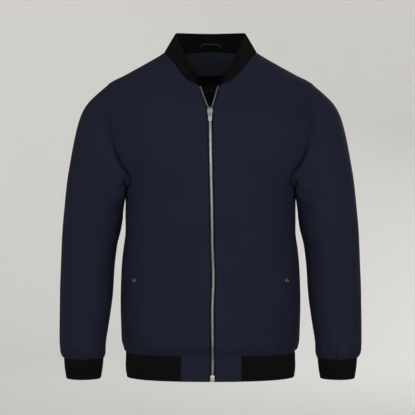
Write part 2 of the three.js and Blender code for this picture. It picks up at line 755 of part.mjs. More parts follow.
// Hanger loop standing against the inside of the collar's back
function buildLoop() {
  const outline = (half, rise, corner) => {
    const shape = new THREE.Path();
    shape.moveTo(half, 0);
    shape.lineTo(half - 2, rise - corner);
    shape.quadraticCurveTo(half - 3, rise, half - 3 - corner, rise);
    shape.lineTo(-(half - 3 - corner), rise);
    shape.quadraticCurveTo(-(half - 3), rise, -(half - 2), rise - corner);
    shape.lineTo(-half, 0);
    return shape.getPoints(4);
  };
  const outer = outline(LOOP.half, LOOP.rise, LOOP.corner);
  const inner = outline(LOOP.half - LOOP.band, LOOP.rise - LOOP.band, LOOP.corner - LOOP.band);
  const shape = new THREE.Shape([...outer, ...inner.reverse()]);
  const geometry = new THREE.ExtrudeGeometry(shape, { depth: LOOP.thick, bevelEnabled: false });
  const low = collarPoint(1, 0);
  const high = collarPoint(1, 0.5);
  const lean = Math.atan2(low.y - high.y, high.z - low.z);
  const mesh = addMesh('hanger_loop', geometry, NAVY);
  mesh.rotation.x = Math.PI / 2 + lean;
  mesh.position.set(LOOP.middle, low.y - KNIT - LOOP.clear, low.z + 1);
}

// Pocket welt on a front, and its press stud
function weltPlace(share, across) {
  const z = mix(WELT.topZ, WELT.lowZ, share);
  const x = mix(WELT.topX, WELT.lowX, share) + across * WELT.width / 2;
  return { turn: turnAtX(x, z), z };
}

function buildPocket(word, side) {
  const sheet = newSheet();
  const rows = [];
  for (let r = 0; r <= 8; r += 1) {
    const row = [-1, 0, 1].map((across) => {
      return bodySpot(weltPlace(1 - r / 8, across), side, WELT.lift + WELT.thick);
    });
    rows.push(row);
  }
  addGrid(sheet, rows);
  addMesh(`pocket_welt_${word}`, wall(sheet, WELT.thick), NAVY);
  const profile = [
    [0, 0], [STUD.radius, 0], [STUD.radius, STUD.thick - 0.6], [STUD.radius - 0.6, STUD.thick],
    [STUD.radius - STUD.rim, STUD.thick], [STUD.radius - STUD.rim - 0.8, STUD.thick - 0.6],
    [0, STUD.thick - 0.5],
  ].map(([radius, rise]) => new THREE.Vector2(radius, rise));
  const stud = addMesh(`pocket_stud_${word}`, new THREE.LatheGeometry(profile, 20), 0x2a2b30, 0.35, 0.8);
  const spot = bodySpot(weltPlace(0.5, 0), side, WELT.lift + WELT.thick + 0.4);
  stud.position.copy(spot.point);
  stud.quaternion.setFromUnitVectors(new THREE.Vector3(0, 1, 0), spot.outward);
}

// Strip along the zip, from one distance to another past the front edge's line
function zipStrip(name, levels, from, to, lift, thickness, side, color, metalness) {
  const sheet = newSheet();
  const rows = levels.map((z) => [from, to].map((past) => {
    const x = frontEdge(z) + past;
    const place = { turn: turnAtX(Math.abs(x), z), z };
    const outward = bodyNormal({ turn: 0, z });
    return onSide(bodyPoint(place).addScaledVector(outward, lift), outward, x < 0 ? -side : side);
  }));
  addGrid(sheet, rows);
  addMesh(name, wall(sheet, thickness), color, metalness ? 0.35 : 0.8, metalness);
}

function levelsBetween(low, high, count) {
  return Array.from({ length: count + 1 }, (_, i) => mix(low, high, i / count));
}

function buildZip() {
  const sliderLow = SLIDER_TOP - SLIDER_LENGTH;
  const edge = levelsBetween(UNDERARM, NECK_FRONT, EDGE_ROWS);
  const levels = [(HEM_BOTTOM + SHELL_BOTTOM) / 2, ...LOWER_LEVELS, ...edge];
  const within = (low, high) => [low, ...levels.filter((z) => z > low + 1 && z < high - 1), high];
  const tape = within(HEM_BOTTOM + 3, NECK_FRONT - 2);
  for (const [word, side] of [['left', 1], ['right', -1]]) {
    zipStrip(`zip_tape_${word}`, tape, -TAPE_IN, TAPE_OUT, -TAPE_DEPTH, THIN, side, TAPE_BLACK, 0);
    const open = within(SLIDER_TOP + SEAM, NECK_FRONT - 3);
    const inner = -ZIP_EDGE + 0.2;
    const teeth = inner + CHAIN_HALF;
    zipStrip(`zip_teeth_${word}`, open, inner, teeth, CHAIN_RISE, CHAIN_THICK, side, SILVER, 0.9);
  }
  const closed = within(BOX.top + SEAM, sliderLow - SEAM);
  const [left, right] = [-ZIP_EDGE - CHAIN_HALF, -ZIP_EDGE + CHAIN_HALF];
  zipStrip('zip_chain', closed, left, right, CHAIN_RISE, CHAIN_THICK, 1, SILVER, 0.9);
}

// A closed mesh's geometry as a solid that can be joined and cut, and back
function toSolid(geometry, placed = new THREE.Matrix4()) {
  const plain = geometry.index ? geometry.toNonIndexed() : geometry.clone();
  plain.deleteAttribute('normal');
  plain.deleteAttribute('uv');
  const merged = mergeVertices(plain.applyMatrix4(placed));
  return new wasm.Manifold(new wasm.Mesh({
    numProp: 3,
    vertProperties: new Float32Array(merged.attributes.position.array),
    triVerts: new Uint32Array(merged.index.array),
  }));
}

function fromSolid(solid) {
  const mesh = solid.getMesh();
  const geometry = new THREE.BufferGeometry();
  geometry.setAttribute('position', new THREE.Float32BufferAttribute(mesh.vertProperties, 3));
  geometry.setIndex([...mesh.triVerts]);
  geometry.computeVertexNormals();
  return geometry;
}

// Plate cut from an outline in X and Z, between two distances out of the cloth
function plate(outline, from, to) {
  const shape = new THREE.Shape(outline.map(([x, z]) => new THREE.Vector2(x, z)));
  const geometry = new THREE.ExtrudeGeometry(shape, { depth: to - from, bevelEnabled: false });
  return toSolid(geometry.rotateX(Math.PI / 2).translate(0, -from, 0));
}

function block(x0, x1, out0, out1, z0, z1) {
  return plate([[x0, z0], [x1, z0], [x1, z1], [x0, z1]], out0, out1);
}

// Frame on the front's middle line at a level: out of the cloth is local -Y
function setOnFront(mesh, z) {
  const normal = bodyNormal({ turn: 0, z });
  const spot = bodySpot({ turn: 0, z }, 1);
  mesh.position.copy(spot.point);
  mesh.rotation.x = Math.atan2(normal.z, -normal.y) * -1;
}

// Slider: a stem in the chain, a plate over it and a bridge that holds the pull's bar
function buildSlider() {
  const half = SLIDER_LENGTH / 2;
  const outline = [
    [-PLATE.low, -half], [PLATE.low, -half], [PLATE.half, half - 4], [PLATE.half - 0.6, half - 1],
    [PLATE.half - 2, half], [2 - PLATE.half, half], [0.6 - PLATE.half, half - 1], [-PLATE.half, half - 4],
  ];
  const { half: w, reach, inner, roof, top } = CROWN;
  const housing = plate(outline, PLATE.from, PLATE.to)
    .add(block(-STEM.half, STEM.half, STEM.from, PLATE.from + 0.2, -half, half))
    .add(block(-w, w, PLATE.to - 0.2, top, -reach, reach)
      .subtract(block(-w - 1, w + 1, PLATE.to, roof, -inner, inner)));
  setOnFront(addMesh('zip_slider', fromSolid(housing), SILVER, 0.3, 0.95), SLIDER_TOP - half);
}

// Pull tab: a bar under the bridge, two arms beside it, and a tab with a hole near its tip
function buildPull() {
  const { bar, inner, outer, eye, tip, hole, holeAt } = PULL;
  const from = HINGE_LIFT - bar;
  const to = HINGE_LIFT + bar;
  const outline = [
    [-outer, bar], [-outer, -eye - 3], [-tip, 2 - PULL_LENGTH], [1.6 - tip, -PULL_LENGTH],
    [tip - 1.6, -PULL_LENGTH], [tip, 2 - PULL_LENGTH], [outer, -eye - 3], [outer, bar],
  ];
  const round = Array.from({ length: 14 }, (_, i) => {
    const turn = (i / 14) * 2 * Math.PI;
    return [hole * Math.cos(turn), hole * Math.sin(turn) - holeAt];
  });
  const tab = plate(outline, from, to)
    .subtract(block(-inner, inner, from - 1, to + 1, -eye, -bar))
    .subtract(plate(round, from - 1, to + 1));
  setOnFront(addMesh('zip_pull', fromSolid(tab), SILVER, 0.3, 0.95), SLIDER_TOP - SLIDER_LENGTH / 2);
}

// Box at the zip's lower end
function buildBox() {
  const middle = (BOX.top + BOX.bottom) / 2;
  const tall = (BOX.top - BOX.bottom) / 2;
  const outline = [
    [-BOX.half, -tall], [BOX.half, -tall], [BOX.half, tall - 2], [BOX.half - 1.2, tall],
    [1.2 - BOX.half, tall], [-BOX.half, tall - 2],
  ];
  setOnFront(addMesh('zip_box', fromSolid(plate(outline, -BOX.back, BOX.front)), SILVER, 0.35, 0.9), middle);
}

const wasm = await Module();
wasm.setup();

buildFront('front_left', 1);
buildFront('front_right', -1);
buildBack();
buildSleeve('sleeve_left', 1);
buildSleeve('sleeve_right', -1);
buildCollar();
buildCuff('cuff_left', 1);
buildCuff('cuff_right', -1);
buildHem();
buildFacing();
buildLining();
buildLabel();
buildLoop();
buildPocket('left', 1);
buildPocket('right', -1);
buildZip();
buildSlider();
buildPull();
buildBox();

export default PARTS;
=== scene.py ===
# %% [markdown]
# A navy bomber jacket, filled out as if somebody stood inside it. The construction comes from
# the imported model, which fixes every size. This lesson dresses it: finer cloth on the same
# form, rib knit, a metal zip with real teeth, stitching, and studio light.

# %% Load the frame
import math

import bmesh
import bpy
import numpy as np
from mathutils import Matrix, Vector


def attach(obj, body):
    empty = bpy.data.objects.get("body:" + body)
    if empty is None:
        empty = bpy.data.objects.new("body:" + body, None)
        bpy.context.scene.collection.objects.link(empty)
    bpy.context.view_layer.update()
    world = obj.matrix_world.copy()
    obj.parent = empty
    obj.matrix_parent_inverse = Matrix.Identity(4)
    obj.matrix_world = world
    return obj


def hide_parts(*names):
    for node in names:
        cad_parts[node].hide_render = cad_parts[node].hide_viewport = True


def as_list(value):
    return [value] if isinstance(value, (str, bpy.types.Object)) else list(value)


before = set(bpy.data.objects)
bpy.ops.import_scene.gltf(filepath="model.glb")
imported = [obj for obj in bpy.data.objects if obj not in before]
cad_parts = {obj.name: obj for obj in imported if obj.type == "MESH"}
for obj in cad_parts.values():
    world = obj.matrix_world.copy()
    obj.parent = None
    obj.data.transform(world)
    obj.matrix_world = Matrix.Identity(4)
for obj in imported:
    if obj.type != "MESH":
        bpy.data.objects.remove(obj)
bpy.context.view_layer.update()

MM = 0.001
SIDES = (("left", 1), ("right", -1))

# %% [markdown]
# The camera comes first, so that every later look is judged through the same lens. The
# jacket is seen straight from the front, from three metres away, with a long lens. A long
# lens keeps the sleeves and the chest nearly the same scale, as a catalogue picture does.

# %% Camera
CAMERA_PLACE = (-6.3 * MM, -3.0, -324.5 * MM)
IMAGE_SIDE = 415
FOCAL_PIXELS = 1428.6
SENSOR = 36.0

camera_data = bpy.data.cameras.new("camera")
camera_data.sensor_width = SENSOR
camera_data.lens = FOCAL_PIXELS / IMAGE_SIDE * SENSOR
camera = bpy.data.objects.new("camera", camera_data)
camera.location = CAMERA_PLACE
camera.rotation_euler = (math.pi / 2, 0, 0)
bpy.context.scene.collection.objects.link(camera)
bpy.context.scene.camera = camera
print("lens", round(camera_data.lens, 2), "mm")

# %% [markdown]
# A garment on a body is not a stack of circles. Each level of this jacket is a rounded
# rectangle with its own half width, its depth to the front and back, and a squareness. A
# short table of levels and a smooth curve through each column is enough for the whole body,
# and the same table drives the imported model, so the cloth lands where its solids are.

# %% Body form
BODY = np.array([
    # level, half width, front depth, back depth, squareness
    (-690, 175, 108, 110, 2.3),
    (-678, 175, 108, 110, 2.3),
    (-657, 177, 109, 111, 2.3),
    (-636, 176.5, 109, 111, 2.3),
    (-627, 177, 110, 112, 2.3),
    (-620, 181, 114, 115, 2.3),
    (-603, 186, 120, 118, 2.32),
    (-582, 187, 120, 117, 2.33),
    (-519, 188.4, 119, 110, 2.34),
    (-456, 186.7, 118, 105, 2.35),
    (-414, 183, 119, 106, 2.36),
    (-372, 178, 121, 109, 2.37),
    (-325, 178, 122, 112, 2.36),
    (-289, 180, 122, 114, 2.35),
    (-260, 195, 122, 116, 2.32),
    (-240, 210, 122, 117, 2.3),
    (-200, 230, 119, 118, 2.28),
    (-150, 238, 110, 115, 2.25),
    (-100, 232, 92, 109, 2.18),
    (-80, 223, 83, 105, 2.1),
    (-67, 215, 77, 103, 2.05),
    (-46, 177, 68, 98, 2.0),
    (-25, 139, 57, 92, 2.0),
    (0, 97, 45, 84, 2.0),
    (14, 80, 40, 80, 2.0),
    (30, 62, 36, 77, 2.0),
])
WANDER = np.array([
    # level, sideways shift of the zip and the cloth beside it
    (-690, 3.0), (-640, 4.4), (-540, 3.6), (-464, 5.6), (-414, 3.8),
    (-338, 2.6), (-212, 0), (-125, -1.2), (-73, -3.5), (-20, 0),
])
WANDER_REACH = 95
print("levels of the body", len(BODY))

# %% [markdown]
# The tables hold only a few rows. A curve that swings past its points would put bulges in
# the cloth, so this one levels out at each high or low point and never overshoots. Blender's
# own curve objects could do it too, but a plain function can be read at any level.

# %% Smooth curves
def curve(table, column):
    """A smooth curve through one column of a table, flat beyond its ends."""
    at, value = table[:, 0], table[:, column]
    slope = np.diff(value) / np.diff(at)
    tangent = np.concatenate([[slope[0]], np.zeros(len(at) - 2), [slope[-1]]])
    for i in range(1, len(at) - 1):
        if slope[i - 1] * slope[i] > 0:
            tangent[i] = 2 * slope[i - 1] * slope[i] / (slope[i - 1] + slope[i])

    def read(x):
        x = np.clip(np.asarray(x, dtype=float), at[0], at[-1])
        i = np.clip(np.searchsorted(at, x, side="right") - 1, 0, len(at) - 2)
        span = at[i + 1] - at[i]
        u = (x - at[i]) / span
        rest = 1 - u
        return (value[i] * rest * rest * (1 + 2 * u) + value[i + 1] * u * u * (3 - 2 * u)
                + span * u * rest * (tangent[i] * rest - tangent[i + 1] * u))

    return read


def smoothstep(x):
    x = np.clip(x, 0, 1)
    return x * x * (3 - 2 * x)


def mix(a, b, t):
    return a + (b - a) * t


def unit(v):
    return v / np.maximum(np.linalg.norm(v, axis=-1, keepdims=True), 1e-12)


half_at, front_at, back_at, square_at = [curve(BODY, c) for c in range(1, 5)]
wander_at = curve(WANDER, 1)
print("half width at the waist", round(float(half_at(-456)), 1), "mm")

# %% [markdown]
# Every panel lies on the filled-out body, so each needs the same answers: where is the point
# at this turn and level, which way does the cloth face there, and how far round does a given
# distance from the zip lie. One set of functions keeps neighbours from drifting apart.

# %% Points on the body
NORMAL_TURN, NORMAL_RISE = 0.004, 0.6


def body_point(turn, z):
    """Point of the body form: turn 0 is the front, a quarter turn the wearer's left side."""
    across, along = np.sin(turn), np.cos(turn)
    n = square_at(z)
    scale = (np.abs(across) ** n + np.abs(along) ** n) ** (-1 / n)
    depth = np.where(along > 0, front_at(z), back_at(z))
    z = np.broadcast_to(z, np.shape(scale))
    return np.stack([half_at(z) * across * scale, -depth * along * scale, z], axis=-1)


def body_normal(turn, z):
    """Outward direction, from two short steps along the surface."""
    around = body_point(turn + NORMAL_TURN, z) - body_point(turn - NORMAL_TURN, z)
    up = body_point(turn, z + NORMAL_RISE) - body_point(turn, z - NORMAL_RISE)
    return unit(np.cross(around, up))


def turn_at_x(x, z, on_back=False):
    """Turn at a distance from the middle, on the front or on the back."""
    n = square_at(z)
    share = np.minimum(x / half_at(z), 1)
    turn = np.arctan2(share, (1 - share ** n) ** (1 / n))
    return math.pi - turn if on_back else turn


def turn_at_y(y, z):
    """Turn at a depth on the left side, where the armhole runs."""
    n = square_at(z)
    share = np.minimum(np.abs(y) / np.where(y < 0, front_at(z), back_at(z)), 1)
    turn = np.arctan2((1 - share ** n) ** (1 / n), share)
    return np.where(y < 0, turn, math.pi - turn)


def on_side(points, side):
    """Puts points of the wearer's left half on either side, with the zip's wander."""
    placed = points * np.array([side, 1, 1])
    near = np.where(placed[..., 1] < 0, 1 - smoothstep(np.abs(placed[..., 0]) / WANDER_REACH), 0)
    placed[..., 0] += wander_at(placed[..., 2]) * near
    return placed


print("chest half width", float(half_at(-289)), "mm")

# %% [markdown]
# Cloth has two faces and an edge. Blender's Solidify modifier could add the second face,
# but then the inside could not carry its own lining or stay plain behind raised ribs. So a
# small helper takes grids of outer and inner points, joins grids that share points, and
# closes every open edge with a narrow rim.

# %% Grids of cloth
MERGE_DIGITS = 3


def rows_to_grid(outer, inner, uv):
    return {"outer": outer, "inner": inner, "uv": uv}


def grid_quads(grid):
    """Quads of one grid, wound so that they look away from its inner face."""
    rows, columns = grid["outer"].shape[:2]
    ids = np.arange(rows * columns).reshape(rows, columns)
    quads = np.stack([ids[:-1, :-1], ids[:-1, 1:], ids[1:, 1:], ids[1:, :-1]], axis=-1)
    quads = quads.reshape(-1, 4)
    flat = grid["outer"].reshape(-1, 3)
    out = flat - grid["inner"].reshape(-1, 3)
    first, second, third = [flat[quads[:, k]] for k in range(3)]
    facing = np.cross(second - first, third - first)
    return quads if (facing * out[quads[:, 0]]).sum() >= 0 else quads[:, ::-1]


def joined_grids(grids):
    """Outer and inner points, quads and the UVs of their corners; shared points are merged."""
    outer, inner, quads, corner_uv = [], [], [], []
    count = 0
    for grid in grids:
        faces = grid_quads(grid)
        outer.append(grid["outer"].reshape(-1, 3))
        inner.append(grid["inner"].reshape(-1, 3))
        corner_uv.append(grid["uv"].reshape(-1, 2)[faces])
        quads.append(faces + count)
        count += len(outer[-1])
    outer, inner = np.concatenate(outer), np.concatenate(inner)
    quads, corner_uv = np.concatenate(quads), np.concatenate(corner_uv)
    spots = np.round(outer, MERGE_DIGITS)
    _, first, same = np.unique(spots, axis=0, return_index=True, return_inverse=True)
    return outer[first], inner[first], same.reshape(-1)[quads], corner_uv


print("grids that share an edge are merged to", 10 ** -MERGE_DIGITS, "mm")

# %% [markdown]
# Real cloth has a cut or folded edge with a thickness. The rim closes each open edge with
# one narrow face from the outside to the inside, so that no piece looks like paper. The edge
# where the rim meets the cloth is marked sharp, and all the rest is shaded smooth.

# %% Cloth helper
SHARP_CLOTH, COLLAPSED = 48, 1e-7


def open_rims(quads, corner_uv, total):
    """Narrow faces from the outer to the inner face along every open edge."""
    edges = np.concatenate([quads[:, [k, (k + 1) % 4]] for k in range(4)])
    edge_uv = np.concatenate([corner_uv[:, [k, (k + 1) % 4]] for k in range(4)])
    real = edges[:, 0] != edges[:, 1]
    edges, edge_uv = edges[real], edge_uv[real]
    known = set(map(tuple, edges.tolist()))
    rim = np.array([(b, a) not in known for a, b in edges.tolist()])
    start, end = edges[rim].T
    rims = np.stack([start, start + total, end + total, end], axis=-1)
    return rims, edge_uv[rim][:, [0, 0, 1, 1]]


def cloth(name, grids, materials, replaces=()):
    """One cloth piece from grids in millimetres. materials: outer face, inner face."""
    outer, inner, quads, corner_uv = joined_grids(grids)
    total = len(outer)
    rims, rim_uv = open_rims(quads, corner_uv, total)
    faces = np.concatenate([quads, (quads + total)[:, ::-1], rims])
    uvs = np.concatenate([corner_uv, corner_uv[:, ::-1], rim_uv])
    mesh = bpy.data.meshes.new(name)
    mesh.from_pydata((np.concatenate([outer, inner]) * MM).tolist(), [], faces.tolist())
    layer = mesh.uv_layers.new(name="cloth")
    layer.data.foreach_set("uv", (uvs * MM).reshape(-1))
    for material in materials:
        mesh.materials.append(material)
    inside = np.zeros(len(faces), dtype=np.int32)
    inside[len(quads):2 * len(quads)] = len(materials) - 1
    mesh.polygons.foreach_set("material_index", inside)
    mesh.polygons.foreach_set("use_smooth", np.ones(len(faces), dtype=bool))
    tidy(mesh)
    return place(name, mesh, "jacket", replaces)


def tidy(mesh):
    """Collapsed corners become triangles, and sharp rims stay crisp."""
    work = bmesh.new()
    work.from_mesh(mesh)
    bmesh.ops.dissolve_degenerate(work, dist=COLLAPSED, edges=work.edges)
    work.to_mesh(mesh)
    work.free()
    mesh.set_sharp_from_angle(angle=math.radians(SHARP_CLOTH))
    mesh.update()


def place(name, mesh, body, replaces):
    """Puts a mesh in the scene and on its body, and hides the solids it stands for."""
    piece = bpy.data.objects.new(name, mesh)
    bpy.context.scene.collection.objects.link(piece)
    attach(piece, body)
    if replaces:
        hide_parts(*replaces)
    print(f"{name}: {len(mesh.polygons)} faces")
    return piece


print("cloth edges sharper than", SHARP_CLOTH, "degrees stay crisp")

# %% [markdown]
# Seams, folds and stitches all sit at a set distance from an edge. Measuring along the rows
# of a grid gives that distance, and a bell curve of it gives a soft dent or ridge.

# %% Distances on the cloth
def edge_lengths(points, axis):
    """Distance of each point from the start and from the end of its row or column."""
    step = np.linalg.norm(np.diff(points, axis=axis), axis=-1)
    zero = np.zeros_like(np.take(step, [0], axis=axis))
    from_start = np.cumsum(np.concatenate([zero, step], axis=axis), axis=axis)
    return from_start, np.take(from_start, [-1], axis=axis) - from_start


def bump(distance, width):
    return np.exp(-(distance / width) ** 2)


print("height of a dent one width away", round(float(bump(1, 1)), 2))

# %% [markdown]
# Cloth, knit and metal get their grain from shader nodes. Wiring nodes one by one is long to
# read, so a few small functions make a node, set what is constant and link what isn't. They
# return sockets, so that a formula can be written almost as it is spoken.

# %% Node group tools
NOISE_ROUGHNESS = 0.55


def new_group(name, inputs, outputs):
    """An empty node group with named sockets, and its two end nodes."""
    group = bpy.data.node_groups.new(name, "ShaderNodeTree")
    for label, kind, value in inputs:
        socket = group.interface.new_socket(label, in_out="INPUT", socket_type=kind)
        socket.default_value = value
    for label, kind in outputs:
        group.interface.new_socket(label, in_out="OUTPUT", socket_type=kind)
    return group, group.nodes.new("NodeGroupInput"), group.nodes.new("NodeGroupOutput")


def connect(tree, source, target):
    """Links a socket, or sets a constant on the target itself."""
    if isinstance(source, (int, float, tuple)):
        target.default_value = source
    else:
        tree.links.new(source, target)


def math_node(tree, operation, *values):
    node = tree.nodes.new("ShaderNodeMath")
    node.operation = operation
    for i, value in enumerate(values):
        connect(tree, value, node.inputs[i])
    return node.outputs[0]


def map_range(tree, value, low, high, new_low, new_high):
    node = tree.nodes.new("ShaderNodeMapRange")
    for i, item in enumerate((value, low, high, new_low, new_high)):
        connect(tree, item, node.inputs[i])
    return node.outputs[0]


def noise(tree, vector, scale, detail):
    node = tree.nodes.new("ShaderNodeTexNoise")
    tree.links.new(vector, node.inputs["Vector"])
    connect(tree, scale, node.inputs["Scale"])
    node.inputs["Detail"].default_value = detail
    node.inputs["Roughness"].default_value = NOISE_ROUGHNESS
    return node.outputs["Fac"]


def scaled_color(tree, color, factor):
    """A colour multiplied by a value."""
    node = tree.nodes.new("ShaderNodeVectorMath")
    node.operation = "SCALE"
    connect(tree, color, node.inputs[0])
    connect(tree, factor, node.inputs["Scale"])
    return node.outputs[0]


print("noise roughness", NOISE_ROUGHNESS)

# %% [markdown]
# The shell is woven: warp and weft threads cross over and under. Two sine waves multiplied
# give that chequer at any scale. Real yarn is a little thick and thin, called slub, so a
# noise stretched along the threads is added. It is a group, because the shell, lining,
# label, tape and sewing thread all use it with their own thread counts.

# %% Woven threads
SLUB_STRETCH, SLUB_SCALE = (1, 0.06, 1), 420.0


def make_weave():
    group, given, result = new_group(
        "woven_threads",
        [("UV", "NodeSocketVector", (0, 0, 0)), ("Threads", "NodeSocketFloat", 1800.0),
         ("Slub", "NodeSocketFloat", 0.3)],
        [("Height", "NodeSocketFloat"), ("Thread", "NodeSocketFloat")])
    split = group.nodes.new("ShaderNodeSeparateXYZ")
    group.links.new(given.outputs["UV"], split.inputs[0])
    turns = math_node(group, "MULTIPLY", given.outputs["Threads"], math.pi)
    warp = math_node(group, "SINE", math_node(group, "MULTIPLY", split.outputs[0], turns))
    weft = math_node(group, "SINE", math_node(group, "MULTIPLY", split.outputs[1], turns))
    over = math_node(group, "MULTIPLY_ADD", math_node(group, "MULTIPLY", warp, weft), 0.5, 0.5)
    stretch = group.nodes.new("ShaderNodeMapping")
    stretch.inputs["Scale"].default_value = SLUB_STRETCH
    group.links.new(given.outputs["UV"], stretch.inputs["Vector"])
    slub = noise(group, stretch.outputs[0], SLUB_SCALE, 2.0)
    uneven = math_node(group, "MULTIPLY", slub, given.outputs["Slub"])
    group.links.new(math_node(group, "ADD", over, uneven), result.inputs["Height"])
    group.links.new(slub, result.inputs["Thread"])
    return group


WEAVE = make_weave()
print("made", WEAVE.name)

# %% [markdown]
# Knitting is rows of loops. Each loop shows two legs that lean towards each other, like a
# column of small arrowheads. The ribs themselves are real geometry, later; this group adds
# the loops that are too small to model.

# %% Knit loops
LOOP_LEAN, LOOP_DEPTH = 1.3, 0.35


def make_knit():
    group, given, result = new_group(
        "knit_loops",
        [("UV", "NodeSocketVector", (0, 0, 0)), ("Wale", "NodeSocketFloat", 0.0018),
         ("Course", "NodeSocketFloat", 0.0014)],
        [("Height", "NodeSocketFloat")])
    split = group.nodes.new("ShaderNodeSeparateXYZ")
    group.links.new(given.outputs["UV"], split.inputs[0])
    wales = math_node(group, "DIVIDE", split.outputs[0], given.outputs["Wale"])
    across = math_node(group, "FRACT", wales)
    away = math_node(group, "ABSOLUTE", math_node(group, "SUBTRACT", across, 0.5))
    rise = math_node(group, "DIVIDE", split.outputs[1], given.outputs["Course"])
    leg = math_node(group, "MULTIPLY_ADD", away, LOOP_LEAN, rise)
    loop = math_node(group, "SINE", math_node(group, "MULTIPLY", leg, 2 * math.pi))
    ridge = math_node(group, "SINE", math_node(group, "MULTIPLY", away, 2 * math.pi))
    ridge = math_node(group, "ABSOLUTE", ridge)
    both = math_node(group, "MULTIPLY_ADD", loop, LOOP_DEPTH, ridge)
    group.links.new(both, result.inputs["Height"])
    return group


KNIT_LOOPS = make_knit()
print("made", KNIT_LOOPS.name)

# %% [markdown]
# No dyed cloth is one flat colour. Large dark areas with a single value look like plastic,
# so a slow noise makes them a few percent lighter and darker. A painted image could do the
# same, but noise needs no file and has no seams.

# %% Uneven tone
PATCH_LOW, PATCH_HIGH = 0.3, 0.7


def make_tone():
    group, given, result = new_group(
        "uneven_tone",
        [("Color", "NodeSocketColor", (0.5, 0.5, 0.5, 1)), ("Amount", "NodeSocketFloat", 0.1),
         ("Size", "NodeSocketFloat", 0.12)],
        [("Color", "NodeSocketColor"), ("Mask", "NodeSocketFloat")])
    place_node = group.nodes.new("ShaderNodeTexCoord")
    scale = math_node(group, "DIVIDE", 1.0, given.outputs["Size"])
    patch = noise(group, place_node.outputs["Object"], scale, 4.0)
    low = math_node(group, "SUBTRACT", 1.0, given.outputs["Amount"])
    high = math_node(group, "ADD", 1.0, given.outputs["Amount"])
    factor = map_range(group, patch, PATCH_LOW, PATCH_HIGH, low, high)
    group.links.new(scaled_color(group, given.outputs["Color"], factor), result.inputs["Color"])
    group.links.new(patch, result.inputs["Mask"])
    return group


TONE = make_tone()
print("made", TONE.name)

# %% [markdown]
# Zip parts are plated, then handled and washed. The plating stays bright where fingers rub
# and dulls elsewhere. One noise drives both the colour and the roughness, so that dull spots
# are also rougher, as they are on real metal.

# %% Handled metal
RUB_SCALE, RUB_SHINY, RUB_DULL = 240.0, 0.24, 0.42


def make_rub():
    group, given, result = new_group(
        "handled_metal",
        [("Color", "NodeSocketColor", (0.6, 0.6, 0.6, 1)), ("Rubbed", "NodeSocketFloat", 0.3),
         ("Grain", "NodeSocketFloat", 900.0)],
        [("Color", "NodeSocketColor"), ("Roughness", "NodeSocketFloat"),
         ("Height", "NodeSocketFloat")])
    place_node = group.nodes.new("ShaderNodeTexCoord")
    patch = noise(group, place_node.outputs["Object"], RUB_SCALE, 4.0)
    fine = noise(group, place_node.outputs["Object"], given.outputs["Grain"], 2.0)
    worn = math_node(group, "MULTIPLY", patch, given.outputs["Rubbed"])
    dull = math_node(group, "SUBTRACT", 1.0, worn)
    group.links.new(scaled_color(group, given.outputs["Color"], dull), result.inputs["Color"])
    rough = map_range(group, patch, PATCH_LOW, PATCH_HIGH, RUB_SHINY, RUB_DULL)
    group.links.new(rough, result.inputs["Roughness"])
    group.links.new(fine, result.inputs["Height"])
    return group


RUB = make_rub()
print("made", RUB.name)

# %% [markdown]
# Each material keeps its own Principled shader and places the shared effects in it with its
# own values. The shader can't live inside a group, because whatever reads the material later
# looks for it there. The helpers set the constants on the shader's own sockets.

# %% Material tools
def effect(tree, group, values):
    node = tree.nodes.new("ShaderNodeGroup")
    node.node_tree = group
    for label, value in values.items():
        connect(tree, value, node.inputs[label])
    return node


def base_material(name, roughness, metallic=0.0, specular=0.5):
    material = bpy.data.materials.new(name)
    material.use_nodes = True
    shader = material.node_tree.nodes["Principled BSDF"]
    shader.inputs["Roughness"].default_value = roughness
    shader.inputs["Metallic"].default_value = metallic
    shader.inputs["Specular IOR Level"].default_value = specular
    return material, material.node_tree, shader


def add_bump(tree, shader, height, distance, strength=1.0):
    node = tree.nodes.new("ShaderNodeBump")
    node.inputs["Distance"].default_value = distance
    node.inputs["Strength"].default_value = strength
    tree.links.new(height, node.inputs["Height"])
    tree.links.new(node.outputs[0], shader.inputs["Normal"])


def uv_of(tree):
    node = tree.nodes.new("ShaderNodeUVMap")
    node.uv_map = "cloth"
    return node.outputs[0]


print("material tools ready, materials so far", len(bpy.data.materials))

# %% [markdown]
# Three kinds of material cover the jacket. Woven cloth is dull and gets its threads as bump.
# Knit is darker between the loops, where light doesn't reach. Metal takes its shine from the
# handled-metal group. In all three the specular is kept low, because black cotton reflects
# much less than the shader's usual value.

# %% Woven, knitted and metal
SLUB, WEAVE_TONE, WEAVE_PATCH, STREAK, ROUGH_SWING = 0.35, 0.08, 0.1, 0.07, 0.05
KNIT_TONE, KNIT_PATCH, KNIT_BUMP, KNIT_SPECULAR = 0.15, 0.03, 0.0003, 0.03
LOOP_TOP, LOOP_DARK, LOOP_LIGHT = 1.3, 0.6, 1.15
METAL_GRAIN, METAL_BUMP, METAL_STRENGTH = 1400.0, 0.00004, 0.6


def woven(name, color, roughness, threads, depth=0.00008, specular=0.3):
    material, tree, shader = base_material(name, roughness, specular=specular)
    threads_node = effect(tree, WEAVE, {"UV": uv_of(tree), "Threads": threads, "Slub": SLUB})
    tone = effect(tree, TONE, {"Color": color, "Amount": WEAVE_TONE, "Size": WEAVE_PATCH})
    streak = map_range(
        tree, threads_node.outputs["Thread"], PATCH_LOW, PATCH_HIGH, 1 - STREAK, 1 + STREAK)
    streaked = scaled_color(tree, tone.outputs["Color"], streak)
    tree.links.new(streaked, shader.inputs["Base Color"])
    rough = map_range(tree, tone.outputs["Mask"], PATCH_LOW, PATCH_HIGH,
                      roughness - ROUGH_SWING, roughness + ROUGH_SWING)
    tree.links.new(rough, shader.inputs["Roughness"])
    add_bump(tree, shader, threads_node.outputs["Height"], depth)
    return material


